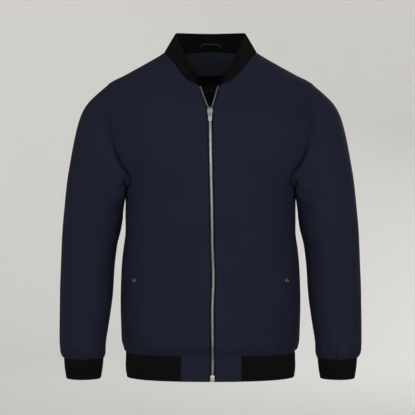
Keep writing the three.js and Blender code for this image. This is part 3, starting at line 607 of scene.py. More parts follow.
def knitted(name, color, wale, course, roughness):
    material, tree, shader = base_material(name, roughness, specular=KNIT_SPECULAR)
    loops = effect(tree, KNIT_LOOPS, {"UV": uv_of(tree), "Wale": wale, "Course": course})
    tone = effect(tree, TONE, {"Color": color, "Amount": KNIT_TONE, "Size": KNIT_PATCH})
    shade = map_range(tree, loops.outputs["Height"], 0.0, LOOP_TOP, LOOP_DARK, LOOP_LIGHT)
    shaded = scaled_color(tree, tone.outputs["Color"], shade)
    tree.links.new(shaded, shader.inputs["Base Color"])
    add_bump(tree, shader, loops.outputs["Height"], KNIT_BUMP)
    return material


def metal(name, color, rubbed):
    material, tree, shader = base_material(name, RUB_SHINY, metallic=1.0)
    rub = effect(tree, RUB, {"Color": color, "Rubbed": rubbed, "Grain": METAL_GRAIN})
    tree.links.new(rub.outputs["Color"], shader.inputs["Base Color"])
    tree.links.new(rub.outputs["Roughness"], shader.inputs["Roughness"])
    add_bump(tree, shader, rub.outputs["Height"], METAL_BUMP, METAL_STRENGTH)
    return material


print("kinds of material", [kind.__name__ for kind in (woven, knitted, metal)])

# %% [markdown]
# The shell is a dull, tightly woven navy. The rib is nearly black and swallows light. The
# lining and label are smoother and catch a soft gleam. Thread is a shade lighter than the
# cloth it is sewn through, because its twisted yarn stands up into the light. Dark colours
# are numbers near 0.01, since Blender's colour values are linear.

# %% The jacket's materials
SHELL_CLOTH = woven("navy_shell", (0.0093, 0.0106, 0.0210, 1), 0.8, 1500.0, specular=0.04)
FACING_CLOTH = woven("navy_facing", (0.0132, 0.0155, 0.0240, 1), 0.8, 1500.0, specular=0.04)
LINING_CLOTH = woven(
    "black_lining", (0.0014, 0.0016, 0.0024, 1), 0.5, 2400.0, depth=0.00004, specular=0.1)
LABEL_CLOTH = woven(
    "black_satin", (0.0010, 0.0013, 0.0018, 1), 0.5, 3000.0, depth=0.00003, specular=0.06)
TAPE_CLOTH = woven(
    "zip_tape_weave", (0.0035, 0.0038, 0.006, 1), 0.85, 900.0, depth=0.00015, specular=0.05)
THREAD = woven(
    "navy_thread", (0.0145, 0.0165, 0.032, 1), 0.7, 4000.0, depth=0.00002, specular=0.1)
FACING_THREAD = woven(
    "facing_thread", (0.045, 0.049, 0.062, 1), 0.7, 4000.0, depth=0.00002, specular=0.1)
RIB_KNIT = knitted("black_rib", (0.0052, 0.0056, 0.0052, 1), 0.00185, 0.0014, 0.95)
# The fitting metal is also put on the open teeth above the slider. They are the same teeth as the
# closed chain, so their much lighter colour there is painted light.
FITTING_AND_LIT_TEETH_METAL = metal("zip_fitting_and_lit_teeth", (0.56, 0.565, 0.565, 1), 0.25)
ZIP_METAL = metal("zip_silver", (0.30, 0.305, 0.305, 1), 0.35)
STUD_METAL = metal("stud_dark", (0.11, 0.115, 0.13, 1), 0.4)
print("materials", len(bpy.data.materials))

# %% [markdown]
# The panels are cut where a tailor would cut them. The front runs from the zip and the
# neckline to the side and the armhole; the back is one piece; each sleeve is a tube that
# starts as the armhole and turns, ring by ring, into the cuff. A few levels and distances
# from the middle fix where all these pieces end. They are in millimetres.

# %% Cutting sizes
SHELL = 1.6
KNIT = 2.2
THIN = 1.0
NECK_FRONT = -73
UNDERARM = -289
SHELL_BOTTOM = -627
HEM_BOTTOM = -678
NECK_SIDE = 97
ZIP_EDGE = 4.8
NECK_EDGE = 23.5
TAB_WIDTH = 62
SLIDER_TOP = -123
SLIDER_LENGTH = 13
EDGE_ROWS, NECK_ROWS = 8, 6
PANEL_ROWS = EDGE_ROWS + NECK_ROWS
print("length below the shoulder point", -HEM_BOTTOM, "mm")

# %% [markdown]
# The neckline, the armhole, the sleeve and the collar's top edge each come from a short
# table. Both neighbours of a seam read the same one, so that they meet exactly. A seam drawn
# twice by hand would gape somewhere.

# %% Seam tables
NECK_FRONT_LINE = np.array([
    # distance from the middle, level
    (23.5, -73), (30, -70.5), (42, -65), (59.5, -49), (73, -29), (86, -13), (97, 0),
])
NECK_BACK_LINE = np.array([(0, 14), (32, 12.5), (62, 8.5), (84, 3.5), (97, 0)])
ARMHOLE = np.array([
    # angle from the shoulder tip, level, reach to the front, reach to the back
    (0, -67, 0, 0),
    (30, -81.6, 27, 29),
    (60, -121.5, 50, 51),
    (90, -176, 65, 64),
    (115, -222, 71, 69),
    (135, -254, 72, 68),
    (150, -274, 66, 61),
    (165, -286, 44, 40),
    (180, -289, 0, 0),
])
SLEEVE = np.array([
    # step, outer x and z, inner x and z, middle y, half depth, armhole shape left, fold
    (0, 215, -67, 180, -289, 0, 62, 1, 0),
    (1, 236, -85, 184, -283, -2, 66, 0.8, 0),
    (2, 255, -104, 186, -283, -3, 68, 0.6, 3),
    (3, 268, -125, 186.5, -287, -4, 69, 0.42, 8),
    (4, 277, -150, 186, -295, -4, 69, 0.26, 12),
    (5, 285, -183, 185, -307, -4, 68, 0.13, 12),
    (6, 293, -225, 183.5, -323, -4, 67, 0.05, 6),
    (7, 300, -267, 183.5, -341, -5, 66, 0, 1),
    (8, 305.5, -320, 186.5, -366, -6, 64, 0, 0),
    (9, 310, -375, 195, -402, -8, 62, 0, 0),
    (10, 312.5, -440, 200.5, -448, -12, 59, 0, 0),
    (11, 314, -500, 203.5, -502, -18, 57, 0, 0),
    (12, 314, -560, 211, -562, -26, 54, 0, 0),
    (13, 313.5, -603, 217, -603, -32, 51, 0, 0),
    (14, 310.5, -624, 218.5, -624, -34, 48, 0, 0),
    (15, 305, -636, 220.5, -636, -35, 43, 0, 0),
])
COLLAR_TOP = np.array([
    # share of the half neckline, x, y, z
    (0, 29, -71, -52),
    (0.15, 38, -66, -36),
    (0.3, 50, -55, -14),
    (0.42, 61.5, -36, 10),
    (0.47, 68.5, -20, 27),
    (0.52, 73, 0, 40),
    (0.6, 71.5, 18, 44),
    (0.75, 56, 44, 47),
    (0.88, 31, 58, 48),
    (1, 0, 63, 48),
])
neck_front_at, neck_back_at = curve(NECK_FRONT_LINE, 1), curve(NECK_BACK_LINE, 1)
armhole_z, armhole_front, armhole_back = [curve(ARMHOLE, c) for c in range(1, 4)]
sleeve_at = [curve(SLEEVE, c) for c in range(1, 9)]
collar_top_at = [curve(COLLAR_TOP, c) for c in range(1, 4)]
print("rings of the sleeve", len(SLEEVE))

# %% [markdown]
# The fronts meet at the zip. Below the slider they run side by side; above it they spread
# into a V. The cloth is folded back a little beside the teeth, so some tape shows. A single
# function of the level serves the fronts, the tapes and the teeth.

# %% Front edges
SPLIT, SPLIT_START, SPLIT_FADE, EDGE_BEND = 2.0, 6, (12, 34), 1.1
FOLD_BACK, FOLD_END = 0.9, (98, 22)


def front_edge(z):
    """Distance of the front edge from the middle; it opens quickly above the slider."""
    rise = np.clip((z - SLIDER_TOP) / (NECK_FRONT - SLIDER_TOP), 0, 1)
    above = z - SLIDER_TOP
    fade = 1 - smoothstep((above - SPLIT_FADE[0]) / SPLIT_FADE[1])
    split = SPLIT * smoothstep(above / SPLIT_START) * fade
    return ZIP_EDGE + (NECK_EDGE - ZIP_EDGE) * rise ** EDGE_BEND + split


def folded_edge(z):
    """Where the shell is folded back beside the zip, so that a little tape shows."""
    return front_edge(z) + FOLD_BACK * (1 - smoothstep((z + FOLD_END[0]) / FOLD_END[1]))


print("opening at the neck", round(2 * float(front_edge(NECK_FRONT)), 1), "mm")

# %% [markdown]
# A sleeve could be swept along a curve, but its upper end has to be the armhole's own odd
# loop. So each ring is an oval, and the first rings blend from the armhole to that oval. On
# a hanging arm the cloth folds where the sleeve meets the chest, and it is pushed out to
# stay clear of the body's side.

# %% Armhole and sleeve
FOLD_ANGLE, FOLD_SPREAD, SLEEVE_CLEAR = 148, 30, 2.5
FOLD_BEHIND, FOLD_TURN = 0.6, 0.4
OVAL_DEPTH = 62


def armhole_place(angle):
    """Turn and level of the armhole seam: 0 at the shoulder, negative on the back."""
    size = np.abs(angle)
    z = armhole_z(size)
    y = np.where(angle >= 0, -armhole_front(size), armhole_back(size))
    return turn_at_y(np.where(y == 0, -1e-9, y), z), z


def sleeve_point(step, angle):
    """Point of the left sleeve, held clear of the body's side."""
    step, angle = np.broadcast_arrays(np.asarray(step, float), np.asarray(angle, float))
    angle = (angle + 180) % 360 - 180
    angle = np.where(angle == -180, 180, angle)
    out_x, out_z, in_x, in_z, y, depth, keep, fold = [read(step) for read in sleeve_at]
    along, across = np.cos(np.radians(angle)), np.sin(np.radians(angle))

    def oval(ox, oz, ix, iz, middle, half):
        x = (ox + ix) / 2 + (ox - ix) / 2 * along
        z = (oz + iz) / 2 + (oz - iz) / 2 * along
        return np.stack([x, middle - half * across, z], axis=-1)

    first = SLEEVE[0]
    seam = body_point(*armhole_place(angle)) - oval(*first[1:5], 0, OVAL_DEPTH)
    point = oval(out_x, out_z, in_x, in_z, y, depth) + seam * keep[..., None]
    beside = (np.abs(angle) - FOLD_ANGLE) / FOLD_SPREAD
    reach = fold * np.exp(-beside * beside) * np.where(angle > 0, 1, FOLD_BEHIND)
    point[..., 0] -= reach
    point[..., 1] += reach * np.where(angle > 0, -FOLD_TURN, FOLD_TURN)
    level, depth_y = point[..., 2], point[..., 1]
    side = body_point(turn_at_y(depth_y, level), level)[..., 0]
    clear = side + SLEEVE_CLEAR * smoothstep(step / 2)
    point[..., 0] = np.where(step > 0, np.maximum(point[..., 0], clear), point[..., 0])
    return point


def sleeve_normal(step, angle):
    """Outward direction of the sleeve, from short steps round and along it."""
    around = sleeve_point(step, angle - 1.0) - sleeve_point(step, angle + 1.0)
    along = sleeve_point(step + 0.25, angle) - sleeve_point(np.maximum(step - 0.25, 0), angle)
    return unit(np.cross(along, around))


def armhole_normal(angle):
    """Direction halfway between the body's and the sleeve's, shared by both at the seam."""
    return unit(body_normal(*armhole_place(angle)) + sleeve_normal(np.zeros_like(angle), angle))


elbow = sleeve_point(8, 0) - sleeve_point(8, 180)
print("sleeve width at the elbow", round(float(np.linalg.norm(elbow)), 1), "mm")

# %% [markdown]
# A panel is a grid of rows from the middle to the side. Up to the underarm the rows end at
# the side seam, and above it they end on the armhole. The inner end climbs the front edge
# and then turns along the neckline. A row lies exactly on the corner between the two, since
# a corner that is cut off shows as a notch.

# %% Rows of a panel
def inner_place(row, on_back):
    """Places down a panel's middle edge, then along its neckline."""
    row = np.asarray(row, float)
    z_low = mix(UNDERARM, NECK_BACK_LINE[0, 1] if on_back else NECK_FRONT, row / EDGE_ROWS)
    low = turn_at_x(np.zeros_like(z_low) if on_back else folded_edge(z_low), z_low, on_back)
    share = np.sin(np.clip((row - EDGE_ROWS) / NECK_ROWS, 0, 1) * math.pi / 2)
    x = mix(0 if on_back else NECK_EDGE, NECK_SIDE, share)
    z = (neck_back_at if on_back else neck_front_at)(x)
    below = row <= EDGE_ROWS
    return np.where(below, low, turn_at_x(x, z, on_back)), np.where(below, z_low, z)


def rows_above(edge_count, neck_count):
    """Rows from the underarm level to the shoulder, with one exactly at the neck corner."""
    edge = np.linspace(0, EDGE_ROWS, edge_count, endpoint=False)
    return np.concatenate([edge, np.linspace(EDGE_ROWS, PANEL_ROWS, neck_count)])


def panel_places(on_back, lower, row, columns):
    """One half of the front or back as rows of turns and levels, hem to shoulder."""
    z = np.linspace(SHELL_BOTTOM, UNDERARM, lower, endpoint=False)
    start = turn_at_x(np.zeros_like(z) if on_back else folded_edge(z), z, on_back)
    angle = 180 * (1 - row / PANEL_ROWS)
    inner = inner_place(row, on_back)
    outer = armhole_place(-angle if on_back else angle)
    across = np.linspace(0, 1, columns)
    low_turn = mix(start[:, None], np.full_like(z, math.pi / 2)[:, None], across)
    low_z = np.broadcast_to(z[:, None], low_turn.shape)
    up_turn = mix(inner[0][:, None], outer[0][:, None], across)
    up_z = mix(inner[1][:, None], outer[1][:, None], across)
    return np.concatenate([low_turn, up_turn]), np.concatenate([low_z, up_z])


print("rows above the underarm", len(rows_above(10, 8)), "for a coarse panel")

# %% [markdown]
# The collar has to be as long as the neckline that it is sewn to. The path is read from the
# panels themselves, from the zip round to the middle of the back, and its length is kept
# with it, so that the ribs can be spaced evenly.

# %% Length of the neckline
neck_turns = [inner_place(np.linspace(EDGE_ROWS, PANEL_ROWS, 61), back) for back in (False, True)]
neck_path = np.concatenate([
    body_point(*neck_turns[0]), body_point(*neck_turns[1])[::-1][1:],
])
neck_steps = np.linalg.norm(np.diff(neck_path, axis=0), axis=1)
neck_length = np.concatenate([[0], np.cumsum(neck_steps)])
print("half neckline", round(neck_length[-1], 1), "mm")

# %% [markdown]
# Creases are placed one by one. Each is a short line on the panel, seen from in front or
# behind, with a depth and a width in millimetres. It presses a soft trough into the cloth
# and lifts the cloth a little on both sides, because cloth that is pushed in has to go
# somewhere. A cloth simulation could make creases too, but it wouldn't put them where the
# photo has them.

# %% Crease tools
CREASE_SCALE, CREASE_SAMPLES = 2.1, 36
BANK_SHARE, BANK_WIDTH, TAPER = 0.42, 2.1, 0.7


def stroke_lift(x, z, strokes):
    """Height that a list of (points, depth, width) strokes adds to the cloth."""
    lift = np.zeros(np.shape(x))
    for points, depth, width in strokes:
        line = np.array(points, float)
        share = np.linspace(0, 1, len(line))
        fine = np.linspace(0, 1, CREASE_SAMPLES)
        lx, lz = np.interp(fine, share, line[:, 0]), np.interp(fine, share, line[:, 1])
        gap = (x[..., None] - lx) ** 2 + (z[..., None] - lz) ** 2
        near = gap.argmin(axis=-1)
        away = np.sqrt(gap.min(axis=-1)) / width
        taper = np.sin(math.pi * np.clip(fine[near], 0.02, 0.98)) ** TAPER
        trough = bump(away, 1) - BANK_SHARE * bump(away, BANK_WIDTH)
        lift -= CREASE_SCALE * depth * taper * trough
    return lift


def gathers(low, high, spacing, height, depth, seed, base):
    """Short uneven troughs that rise from a gathered seam, as strokes."""
    pick = np.random.default_rng(seed)
    strokes, at = [], low
    while at < high:
        tall = height * pick.uniform(0.45, 1.25)
        lean = pick.uniform(-0.16, 0.16) * tall
        line = [(at, base), (at + lean * 0.4, base + tall * 0.5), (at + lean, base + tall)]
        strokes.append((line, depth * pick.uniform(0.5, 1.2), spacing * pick.uniform(0.22, 0.34)))
        at += spacing * pick.uniform(0.7, 1.45)
    return strokes


print("gathers in ten centimetres", len(gathers(0, 100, 13, 28, 1, 5, 0)))

# %% [markdown]
# On the body, creases start at the armholes, where the hanging sleeves pull, and slant
# towards the zip. Long shallow ones run down the fronts and the back. Just above the hem the
# cloth is wider than the rib that holds it, so it gathers into short uneven folds. No two
# have the same length, depth or spacing.

# %% Creases of the body
FRONT_CREASES = {
    1: [
        ([(168, -262), (146, -246), (118, -236)], 1.3, 7.5),
        ([(170, -276), (150, -268), (128, -266)], 0.9, 6),
        ([(172, -306), (158, -322), (142, -330)], 1.2, 8),
        ([(168, -330), (152, -352), (140, -380)], 0.8, 10),
        ([(120, -190), (104, -222), (98, -262)], 0.7, 14),
        ([(176, -440), (150, -452), (118, -446)], 0.7, 10),
        ([(60, -352), (92, -372), (128, -372)], 0.6, 15),
        ([(40, -520), (66, -548), (100, -560)], 0.6, 14),
        ([(22, -250), (34, -286), (36, -330)], 0.6, 12),
        ([(20, -420), (30, -452), (28, -500)], 0.6, 11),
        ([(176, -520), (158, -548), (150, -590)], 1.0, 9),
    ],
    -1: [
        ([(-169, -258), (-150, -240), (-126, -228)], 1.2, 8),
        ([(-171, -280), (-148, -276), (-132, -280)], 1.0, 6),
        ([(-172, -312), (-156, -334), (-148, -352)], 1.3, 8.5),
        ([(-118, -176), (-106, -214), (-108, -250)], 0.7, 14),
        ([(-178, -404), (-154, -424), (-122, -428)], 0.8, 10),
        ([(-58, -402), (-86, -416), (-116, -408)], 0.5, 15),
        ([(-32, -548), (-58, -568), (-92, -574)], 0.6, 13),
        ([(-24, -300), (-36, -340), (-34, -390)], 0.6, 12),
        ([(-22, -470), (-32, -505), (-30, -540)], 0.6, 10),
        ([(-177, -500), (-160, -540), (-156, -586)], 1.0, 9),
    ],
}
BACK_CREASES = [
    ([(168, -262), (140, -240), (104, -226)], 1.6, 9),
    ([(-166, -258), (-146, -232), (-118, -214)], 1.5, 9),
    ([(170, -292), (140, -290), (112, -300)], 1.2, 8),
    ([(-170, -300), (-136, -306), (-110, -322)], 1.3, 9),
    ([(60, -60), (78, -120), (80, -190)], 1.0, 16),
    ([(-56, -70), (-76, -140), (-74, -215)], 1.0, 17),
    ([(18, -330), (6, -420), (14, -500)], 1.0, 20),
    ([(-70, -360), (-84, -440), (-78, -520)], 1.1, 18),
    ([(96, -390), (104, -460), (92, -530)], 1.1, 17),
    ([(-20, -30), (0, -42), (24, -34)], 0.8, 8),
    ([(150, -420), (128, -452), (96, -462)], 0.9, 12),
    ([(-154, -470), (-120, -492), (-90, -486)], 0.9, 12),
]
GATHER_BASE = SHELL_BOTTOM + 1
FRONT_GATHERS = {
    1: gathers(66, 184, 13, 28, 2.2, 21, GATHER_BASE),
    -1: gathers(-184, -66, 12, 26, 2.2, 22, GATHER_BASE),
}
BACK_GATHERS = gathers(-184, 184, 14, 32, 2.3, 23, GATHER_BASE)


def front_lift(x, z, side):
    return stroke_lift(x, z, FRONT_CREASES[side] + FRONT_GATHERS[side])


def back_lift(x, z):
    return stroke_lift(x, z, BACK_CREASES + BACK_GATHERS)


print("creases", sum(len(v) for v in FRONT_CREASES.values()) + len(BACK_CREASES))

# %% [markdown]
# Along every seam the cloth dips into a narrow groove and swells just beside it, where the
# seam allowance lies doubled underneath. That small step is what makes a seam read as a seam
# from three metres away. Low on the armhole the hanging sleeve draws the cloth in much
# further, which gives the dark curved line beside the chest.

# %% Seam and fold profiles
SEAM_GROOVE, SEAM_WIDTH, ARMHOLE_SEAM = 0.65, 2.0, 0.2
SEAM_SWELL, SWELL_AWAY, SWELL_WIDTH, TUCK_SPREAD = 0.35, 4.5, 2.6, 0.24
TUCK_FRONT, TUCK_BACK, TUCK_FROM, TUCK_TO, TUCK_EASE = 7.0, 3.4, (98, 26), (146, 26), 0.6
FOLD_DROP, FOLD_WIDTH = 0.7, 1.6
STITCH_DENT, STITCH_DENT_WIDTH = 0.3, 1.1
RIB_LAP, TAB_LAP, LAP_WIDTH = 0.8, 0.12, 2.2


def seam_profile(distance, tuck=0.0, size=1.0):
    """Groove on a seam and the swell of the doubled cloth beside it; tuck draws it in further."""
    groove = (SEAM_GROOVE * size + tuck) * bump(distance, SEAM_WIDTH + TUCK_SPREAD * tuck)
    return SEAM_SWELL * size * bump(distance - SWELL_AWAY - tuck, SWELL_WIDTH) - groove


def underarm_tuck(angle):
    """How far the cloth is drawn in where the hanging sleeve folds at the armhole."""
    size = np.abs(angle)
    start = smoothstep((size - TUCK_FROM[0]) / TUCK_FROM[1])
    ease = 1 - TUCK_EASE * smoothstep((size - TUCK_TO[0]) / TUCK_TO[1])
    return start * ease * np.where(angle > 0, TUCK_FRONT, TUCK_BACK)


def folded_hem(distance, stitch, width=FOLD_WIDTH):
    """A folded edge bends inwards, and its row of stitches presses a shallow dent."""
    dent = STITCH_DENT * bump(distance - stitch, STITCH_DENT_WIDTH)
    return -FOLD_DROP * bump(distance, width) - dent


print("deepest tuck", round(float(underarm_tuck(np.array(140.0))), 1), "mm")

# %% [markdown]
# The body is two fronts and a back, each one grid per side. The form gives the big shape,
# and everything else is a height added along the cloth's own direction: creases, seams, the
# fold at the zip, and a slight pucker where the topstitching tugs.

# %% Fronts and back
LOWER, EDGE_COUNT, NECK_COUNT, COLUMNS = 110, 56, 44, 84
ABOVE = rows_above(EDGE_COUNT, NECK_COUNT)
NECK_START = LOWER + EDGE_COUNT
ZIP_STITCH, TAB_STITCH, NECK_STITCH = 6.5, 5.0, 3.0
PUCKER, PUCKER_WIDTH, PUCKER_BEAT, PUCKER_SLOW = 0.22, 4, 4.1, 23
UV_ROUND = 190
TUCK_FADE = 26


def zip_pucker(z, from_inner):
    beat = np.sin(z / PUCKER_BEAT + 1.3 * np.sin(z / PUCKER_SLOW))
    return PUCKER * beat * bump(from_inner - ZIP_STITCH, PUCKER_WIDTH)


def panel_grid(on_back, side):
    """One side of the front or back: form, creases, seams and folds."""
    turn, z = panel_places(on_back, LOWER, ABOVE, COLUMNS)
    normals = body_normal(turn, z)
    arm_angle = 180 * (1 - ABOVE / PANEL_ROWS) * (-1 if on_back else 1)
    arm = armhole_normal(arm_angle)
    blend_in = bump(np.linspace(0, 1, COLUMNS)[::-1], 0.06)[None, :, None]
    upper = slice(LOWER, None)
    normals[upper] = unit(mix(normals[upper], arm[:, None, :], blend_in))
    if on_back:
        normals[:, 0, 0] = 0
        normals[:, 0] = unit(normals[:, 0])
    points = on_side(body_point(turn, z), side)
    normals = normals * np.array([side, 1, 1])
    from_inner, to_outer = edge_lengths(points, 1)
    up_start, up_end = edge_lengths(points, 0)
    neck_rows = np.zeros((len(turn), 1))
    neck_rows[NECK_START:] = 1
    tuck = np.zeros((len(turn), 1))
    tuck[upper, 0] = underarm_tuck(arm_angle)
    below = smoothstep((z[:LOWER, -1] - UNDERARM + TUCK_FADE) / TUCK_FADE)
    tuck[:LOWER, 0] = tuck[LOWER, 0] * below
    lift = seam_profile(to_outer, tuck, ARMHOLE_SEAM) + seam_profile(up_end)
    lift = lift + neck_rows * seam_profile(from_inner)
    if on_back:
        lift = lift + back_lift(points[..., 0], z)
    else:
        lift = lift + front_lift(points[..., 0], z, side)
        fold = zip_pucker(z, from_inner) + folded_hem(from_inner, ZIP_STITCH)
        lift = lift + (1 - neck_rows) * fold
    above_rib = np.where(on_back | (np.abs(points[..., 0]) > TAB_WIDTH), RIB_LAP, TAB_LAP)
    lift = lift - above_rib * np.exp(-up_start / LAP_WIDTH)
    outer = points + normals * lift[..., None]
    return rows_to_grid(outer, outer - normals * SHELL, np.stack([turn * UV_ROUND, z], axis=-1))


front_left = cloth("left_front", [panel_grid(False, 1)], [SHELL_CLOTH, LINING_CLOTH],
                   replaces=["front_left"])
front_right = cloth("right_front", [panel_grid(False, -1)], [SHELL_CLOTH, LINING_CLOTH],
                    replaces=["front_right"])
back = cloth("back_panel", [panel_grid(True, 1), panel_grid(True, -1)],
             [SHELL_CLOTH, LINING_CLOTH], replaces=["back"])

# %% [markdown]
# A set-in sleeve hangs from the armhole and bends a little at the elbow. Where it bends, the
# inside of the elbow folds, and above the tight cuff the extra width collapses into short
# gathers. Creases on the sleeve are placed by angle and by distance down the sleeve, so the
# hidden back side gets its own.

# %% Creases of the sleeves
SLEEVE_CREASES = {
    1: [
        # points as (distance round from the shoulder line in mm, level), depth, width
        ([(150, -262), (128, -292), (96, -306)], 1.6, 8),
        ([(156, -286), (132, -322), (104, -346)], 1.5, 8),
        ([(150, -360), (118, -372), (82, -362)], 1.5, 9),
        ([(158, -398), (122, -416), (92, -418)], 1.7, 9),
        ([(150, -444), (120, -448), (84, -436)], 1.2, 9),
        ([(40, -150), (58, -196), (66, -248)], 0.9, 14),
        ([(30, -330), (46, -382), (44, -440)], 0.8, 15),
        ([(120, -500), (92, -526), (60, -534)], 1.2, 11),
        ([(26, -520), (48, -556), (78, -574)], 1.1, 10),
        ([(-150, -280), (-118, -306), (-80, -316)], 1.7, 10),
        ([(-156, -350), (-112, -372), (-70, -366)], 1.6, 11),
        ([(-60, -400), (-96, -432), (-140, -436)], 1.7, 10),
        ([(-50, -180), (-66, -232), (-62, -290)], 1.0, 15),
        ([(-40, -500), (-74, -530), (-118, -540)], 1.3, 11),
    ],
    -1: [
        ([(152, -256), (130, -284), (102, -296)], 1.5, 8),
        ([(158, -292), (136, -330), (112, -356)], 1.6, 8),
        ([(154, -372), (124, -386), (90, -380)], 1.6, 9),
        ([(156, -416), (126, -430), (98, -428)], 1.4, 8),
        ([(36, -160), (56, -210), (60, -262)], 0.9, 14),
        ([(34, -360), (50, -410), (46, -470)], 0.8, 15),
        ([(126, -478), (96, -500), (66, -504)], 1.2, 11),
        ([(30, -540), (54, -572), (82, -584)], 1.1, 9),
        ([(-152, -272), (-116, -300), (-84, -304)], 1.6, 10),
        ([(-158, -362), (-116, -380), (-74, -380)], 1.7, 11),
        ([(-64, -420), (-98, -446), (-138, -456)], 1.5, 10),
        ([(-44, -200), (-60, -250), (-58, -300)], 1.0, 15),
        ([(-46, -520), (-78, -546), (-120, -552)], 1.3, 10),
    ],
}
CUFF_GATHERS = {
    1: gathers(-176, 176, 12.5, 26, 2.3, 31, 0),
    -1: gathers(-176, 176, 12.5, 26, 2.3, 33, 0),
}
print("creases of the sleeves", sum(len(v) for v in SLEEVE_CREASES.values()))

# %% [markdown]
# The sleeve is one closed grid. Its rows stand closer near the armhole, where the shape
# turns quickly, and further apart down the arm. The seam along the underside needs no edge:
# the last column takes the values of the first.

# %% Sleeves
SLEEVE_STEPS, SLEEVE_CLOSE, SLEEVE_AROUND = 150, 26, 132
ROUND_SCALE = 166 / 180
NEAR_SEAM, BESIDE_BODY, CUFF_LAP_WIDTH = 0.35, 0.8, 2.4


def sleeve_grid(side):
    """A sleeve from the armhole to the cuff."""
    last = SLEEVE[-1, 0]
    near = np.linspace(0, 2, SLEEVE_CLOSE, endpoint=False)
    steps = np.concatenate([near, np.linspace(2, last, SLEEVE_STEPS - SLEEVE_CLOSE)])
    angles = np.linspace(180, -180, SLEEVE_AROUND)
    step, angle = np.meshgrid(steps, angles, indexing="ij")
    points = sleeve_point(step, angle)
    normals = sleeve_normal(step, angle)
    arm = armhole_normal(angles)[None]
    close = bump(step, NEAR_SEAM)[..., None]
    normals = unit(mix(normals, np.broadcast_to(arm, normals.shape), close))
    normals[:, -1] = normals[:, 0]
    from_arm, to_cuff = edge_lengths(points, 0)
    round_mm = angle * ROUND_SCALE
    level = points[..., 2]
    lift = stroke_lift(round_mm, level, SLEEVE_CREASES[side])
    lift += stroke_lift(round_mm, to_cuff, CUFF_GATHERS[side])
    beside_body = smoothstep((np.abs(angle) - 118) / 30) * smoothstep((level + 420) / 60)
    lift = np.where(lift > 0, lift * (1 - BESIDE_BODY * beside_body), lift)
    lift += seam_profile(from_arm, underarm_tuck(angle), ARMHOLE_SEAM)
    lift -= RIB_LAP * np.exp(-to_cuff / CUFF_LAP_WIDTH)
    lift[:, -1] = lift[:, 0]
    points = points * np.array([side, 1, 1])
    normals = normals * np.array([side, 1, 1])
    outer = points + normals * lift[..., None]
    uv = np.stack([round_mm, level], axis=-1)
    return rows_to_grid(outer, outer - normals * SHELL, uv)


sleeve_left = cloth("left_sleeve", [sleeve_grid(1)], [SHELL_CLOTH, LINING_CLOTH],
                    replaces=["sleeve_left"])
sleeve_right = cloth("right_sleeve", [sleeve_grid(-1)], [SHELL_CLOTH, LINING_CLOTH],
                     replaces=["sleeve_right"])

# %% [markdown]
# Rib knit is knitted in columns that stand out in turn on the face and on the back. That is
# why it stretches and springs back, and why both of its sides look ribbed. Here the whole
# sheet is corrugated, so a ridge outside is a groove inside, at three millimetres a rib.
# Its free edge is a fold, so it thins to a round lip.

# %% Rib knit
RIB_PITCH, RIB_DEPTH, RIB_SAMPLES = 3.0, 0.55, 6
EDGE_ROUND, SEAM_DIP, DIP_WIDTH = 1.4, 1.5, 1.1
EDGE_THIN, SEAM_FLAT = 0.75, 0.7


def rib_columns(length):
    """Even shares of a length, a few to each rib, and the number of ribs."""
    ribs = max(2, round(length / RIB_PITCH))
    return np.linspace(0, 1, ribs * RIB_SAMPLES + 1), ribs


def edge_heights(rows, seam_low):
    """Shares of the height from the seam, which is overlapped a little, to the rounded edge."""
    up = np.concatenate([[-0.022, 0, 0.022], np.linspace(0.07, 0.93, rows), [0.965, 0.985, 1]])
    return up if seam_low else (1 - up)[::-1]


def knit_grid(points, normals, length, ribs, seam_low):
    """A corrugated sheet on the given points, sunk a little where it meets its seam."""
    share = np.linspace(0, 1, points.shape[1])
    wave = RIB_DEPTH * np.cos(2 * math.pi * share * ribs)
    from_low, from_high = edge_lengths(points, 0)
    to_seam, to_edge = (from_low, from_high) if seam_low else (from_high, from_low)
    thin = 1 - np.sqrt(np.clip(to_edge / EDGE_ROUND, 0, 1))
    at_seam = bump(to_seam, DIP_WIDTH)
    middle = points - normals * (KNIT / 2 + SEAM_DIP * at_seam)[..., None]
    half = KNIT / 2 * (1 - EDGE_THIN * thin)
    wave = wave * (1 - SEAM_FLAT * at_seam)
    outer = middle + normals * (half + wave)[..., None]
    inner = middle - normals * (half - wave)[..., None]
    u = np.broadcast_to(share * length, points.shape[:2])
    return rows_to_grid(outer, inner, np.stack([u, from_low], axis=-1))


print("ribs in the half collar", rib_columns(neck_length[-1])[1])

# %% [markdown]
# The collar is a strip of this knit, sewn to the neckline and standing up by its own spring.
# It is low at the zip and highest beside the neck. Its surface runs straight from the
# neckline to the top edge, with a small roll outwards, as a folded strip has.

# %% Collar
COLLAR_ROLL, COLLAR_ROWS = 0.6, 14
SHARE_STEP, HEIGHT_STEP = 0.01, 0.1


def collar_surface(share, height):
    """Point of the left half: share runs from the zip to the back, height from seam to edge."""
    at = share * neck_length[-1]
    low = np.stack([np.interp(at, neck_length, neck_path[:, i]) for i in range(3)], axis=-1)
    high = np.stack([read(share) for read in collar_top_at], axis=-1)
    point = mix(low, high, height[..., None])
    away = point * np.array([1, 1, 0])
    return point + unit(away) * (COLLAR_ROLL * 4 * height * (1 - height))[..., None]


def collar_grid(side):
    columns, ribs = rib_columns(neck_length[-1])
    height, share = np.meshgrid(edge_heights(COLLAR_ROWS, True), columns, indexing="ij")
    points = collar_surface(share, height)
    ahead, behind = np.minimum(share + SHARE_STEP, 1), np.maximum(share - SHARE_STEP, 0)
    above, below = np.minimum(height + HEIGHT_STEP, 1), np.maximum(height - HEIGHT_STEP, 0)
    around = collar_surface(ahead, height) - collar_surface(behind, height)
    up = collar_surface(share, above) - collar_surface(share, below)
    normals = unit(np.cross(around, up))
    normals[:, -1, 0] = 0
    placed = on_side(points, side)
    return knit_grid(placed, unit(normals) * np.array([side, 1, 1]), neck_length[-1], ribs, True)


collar = cloth("ribbed_collar", [collar_grid(1), collar_grid(-1)], [RIB_KNIT],
               replaces=["collar"])

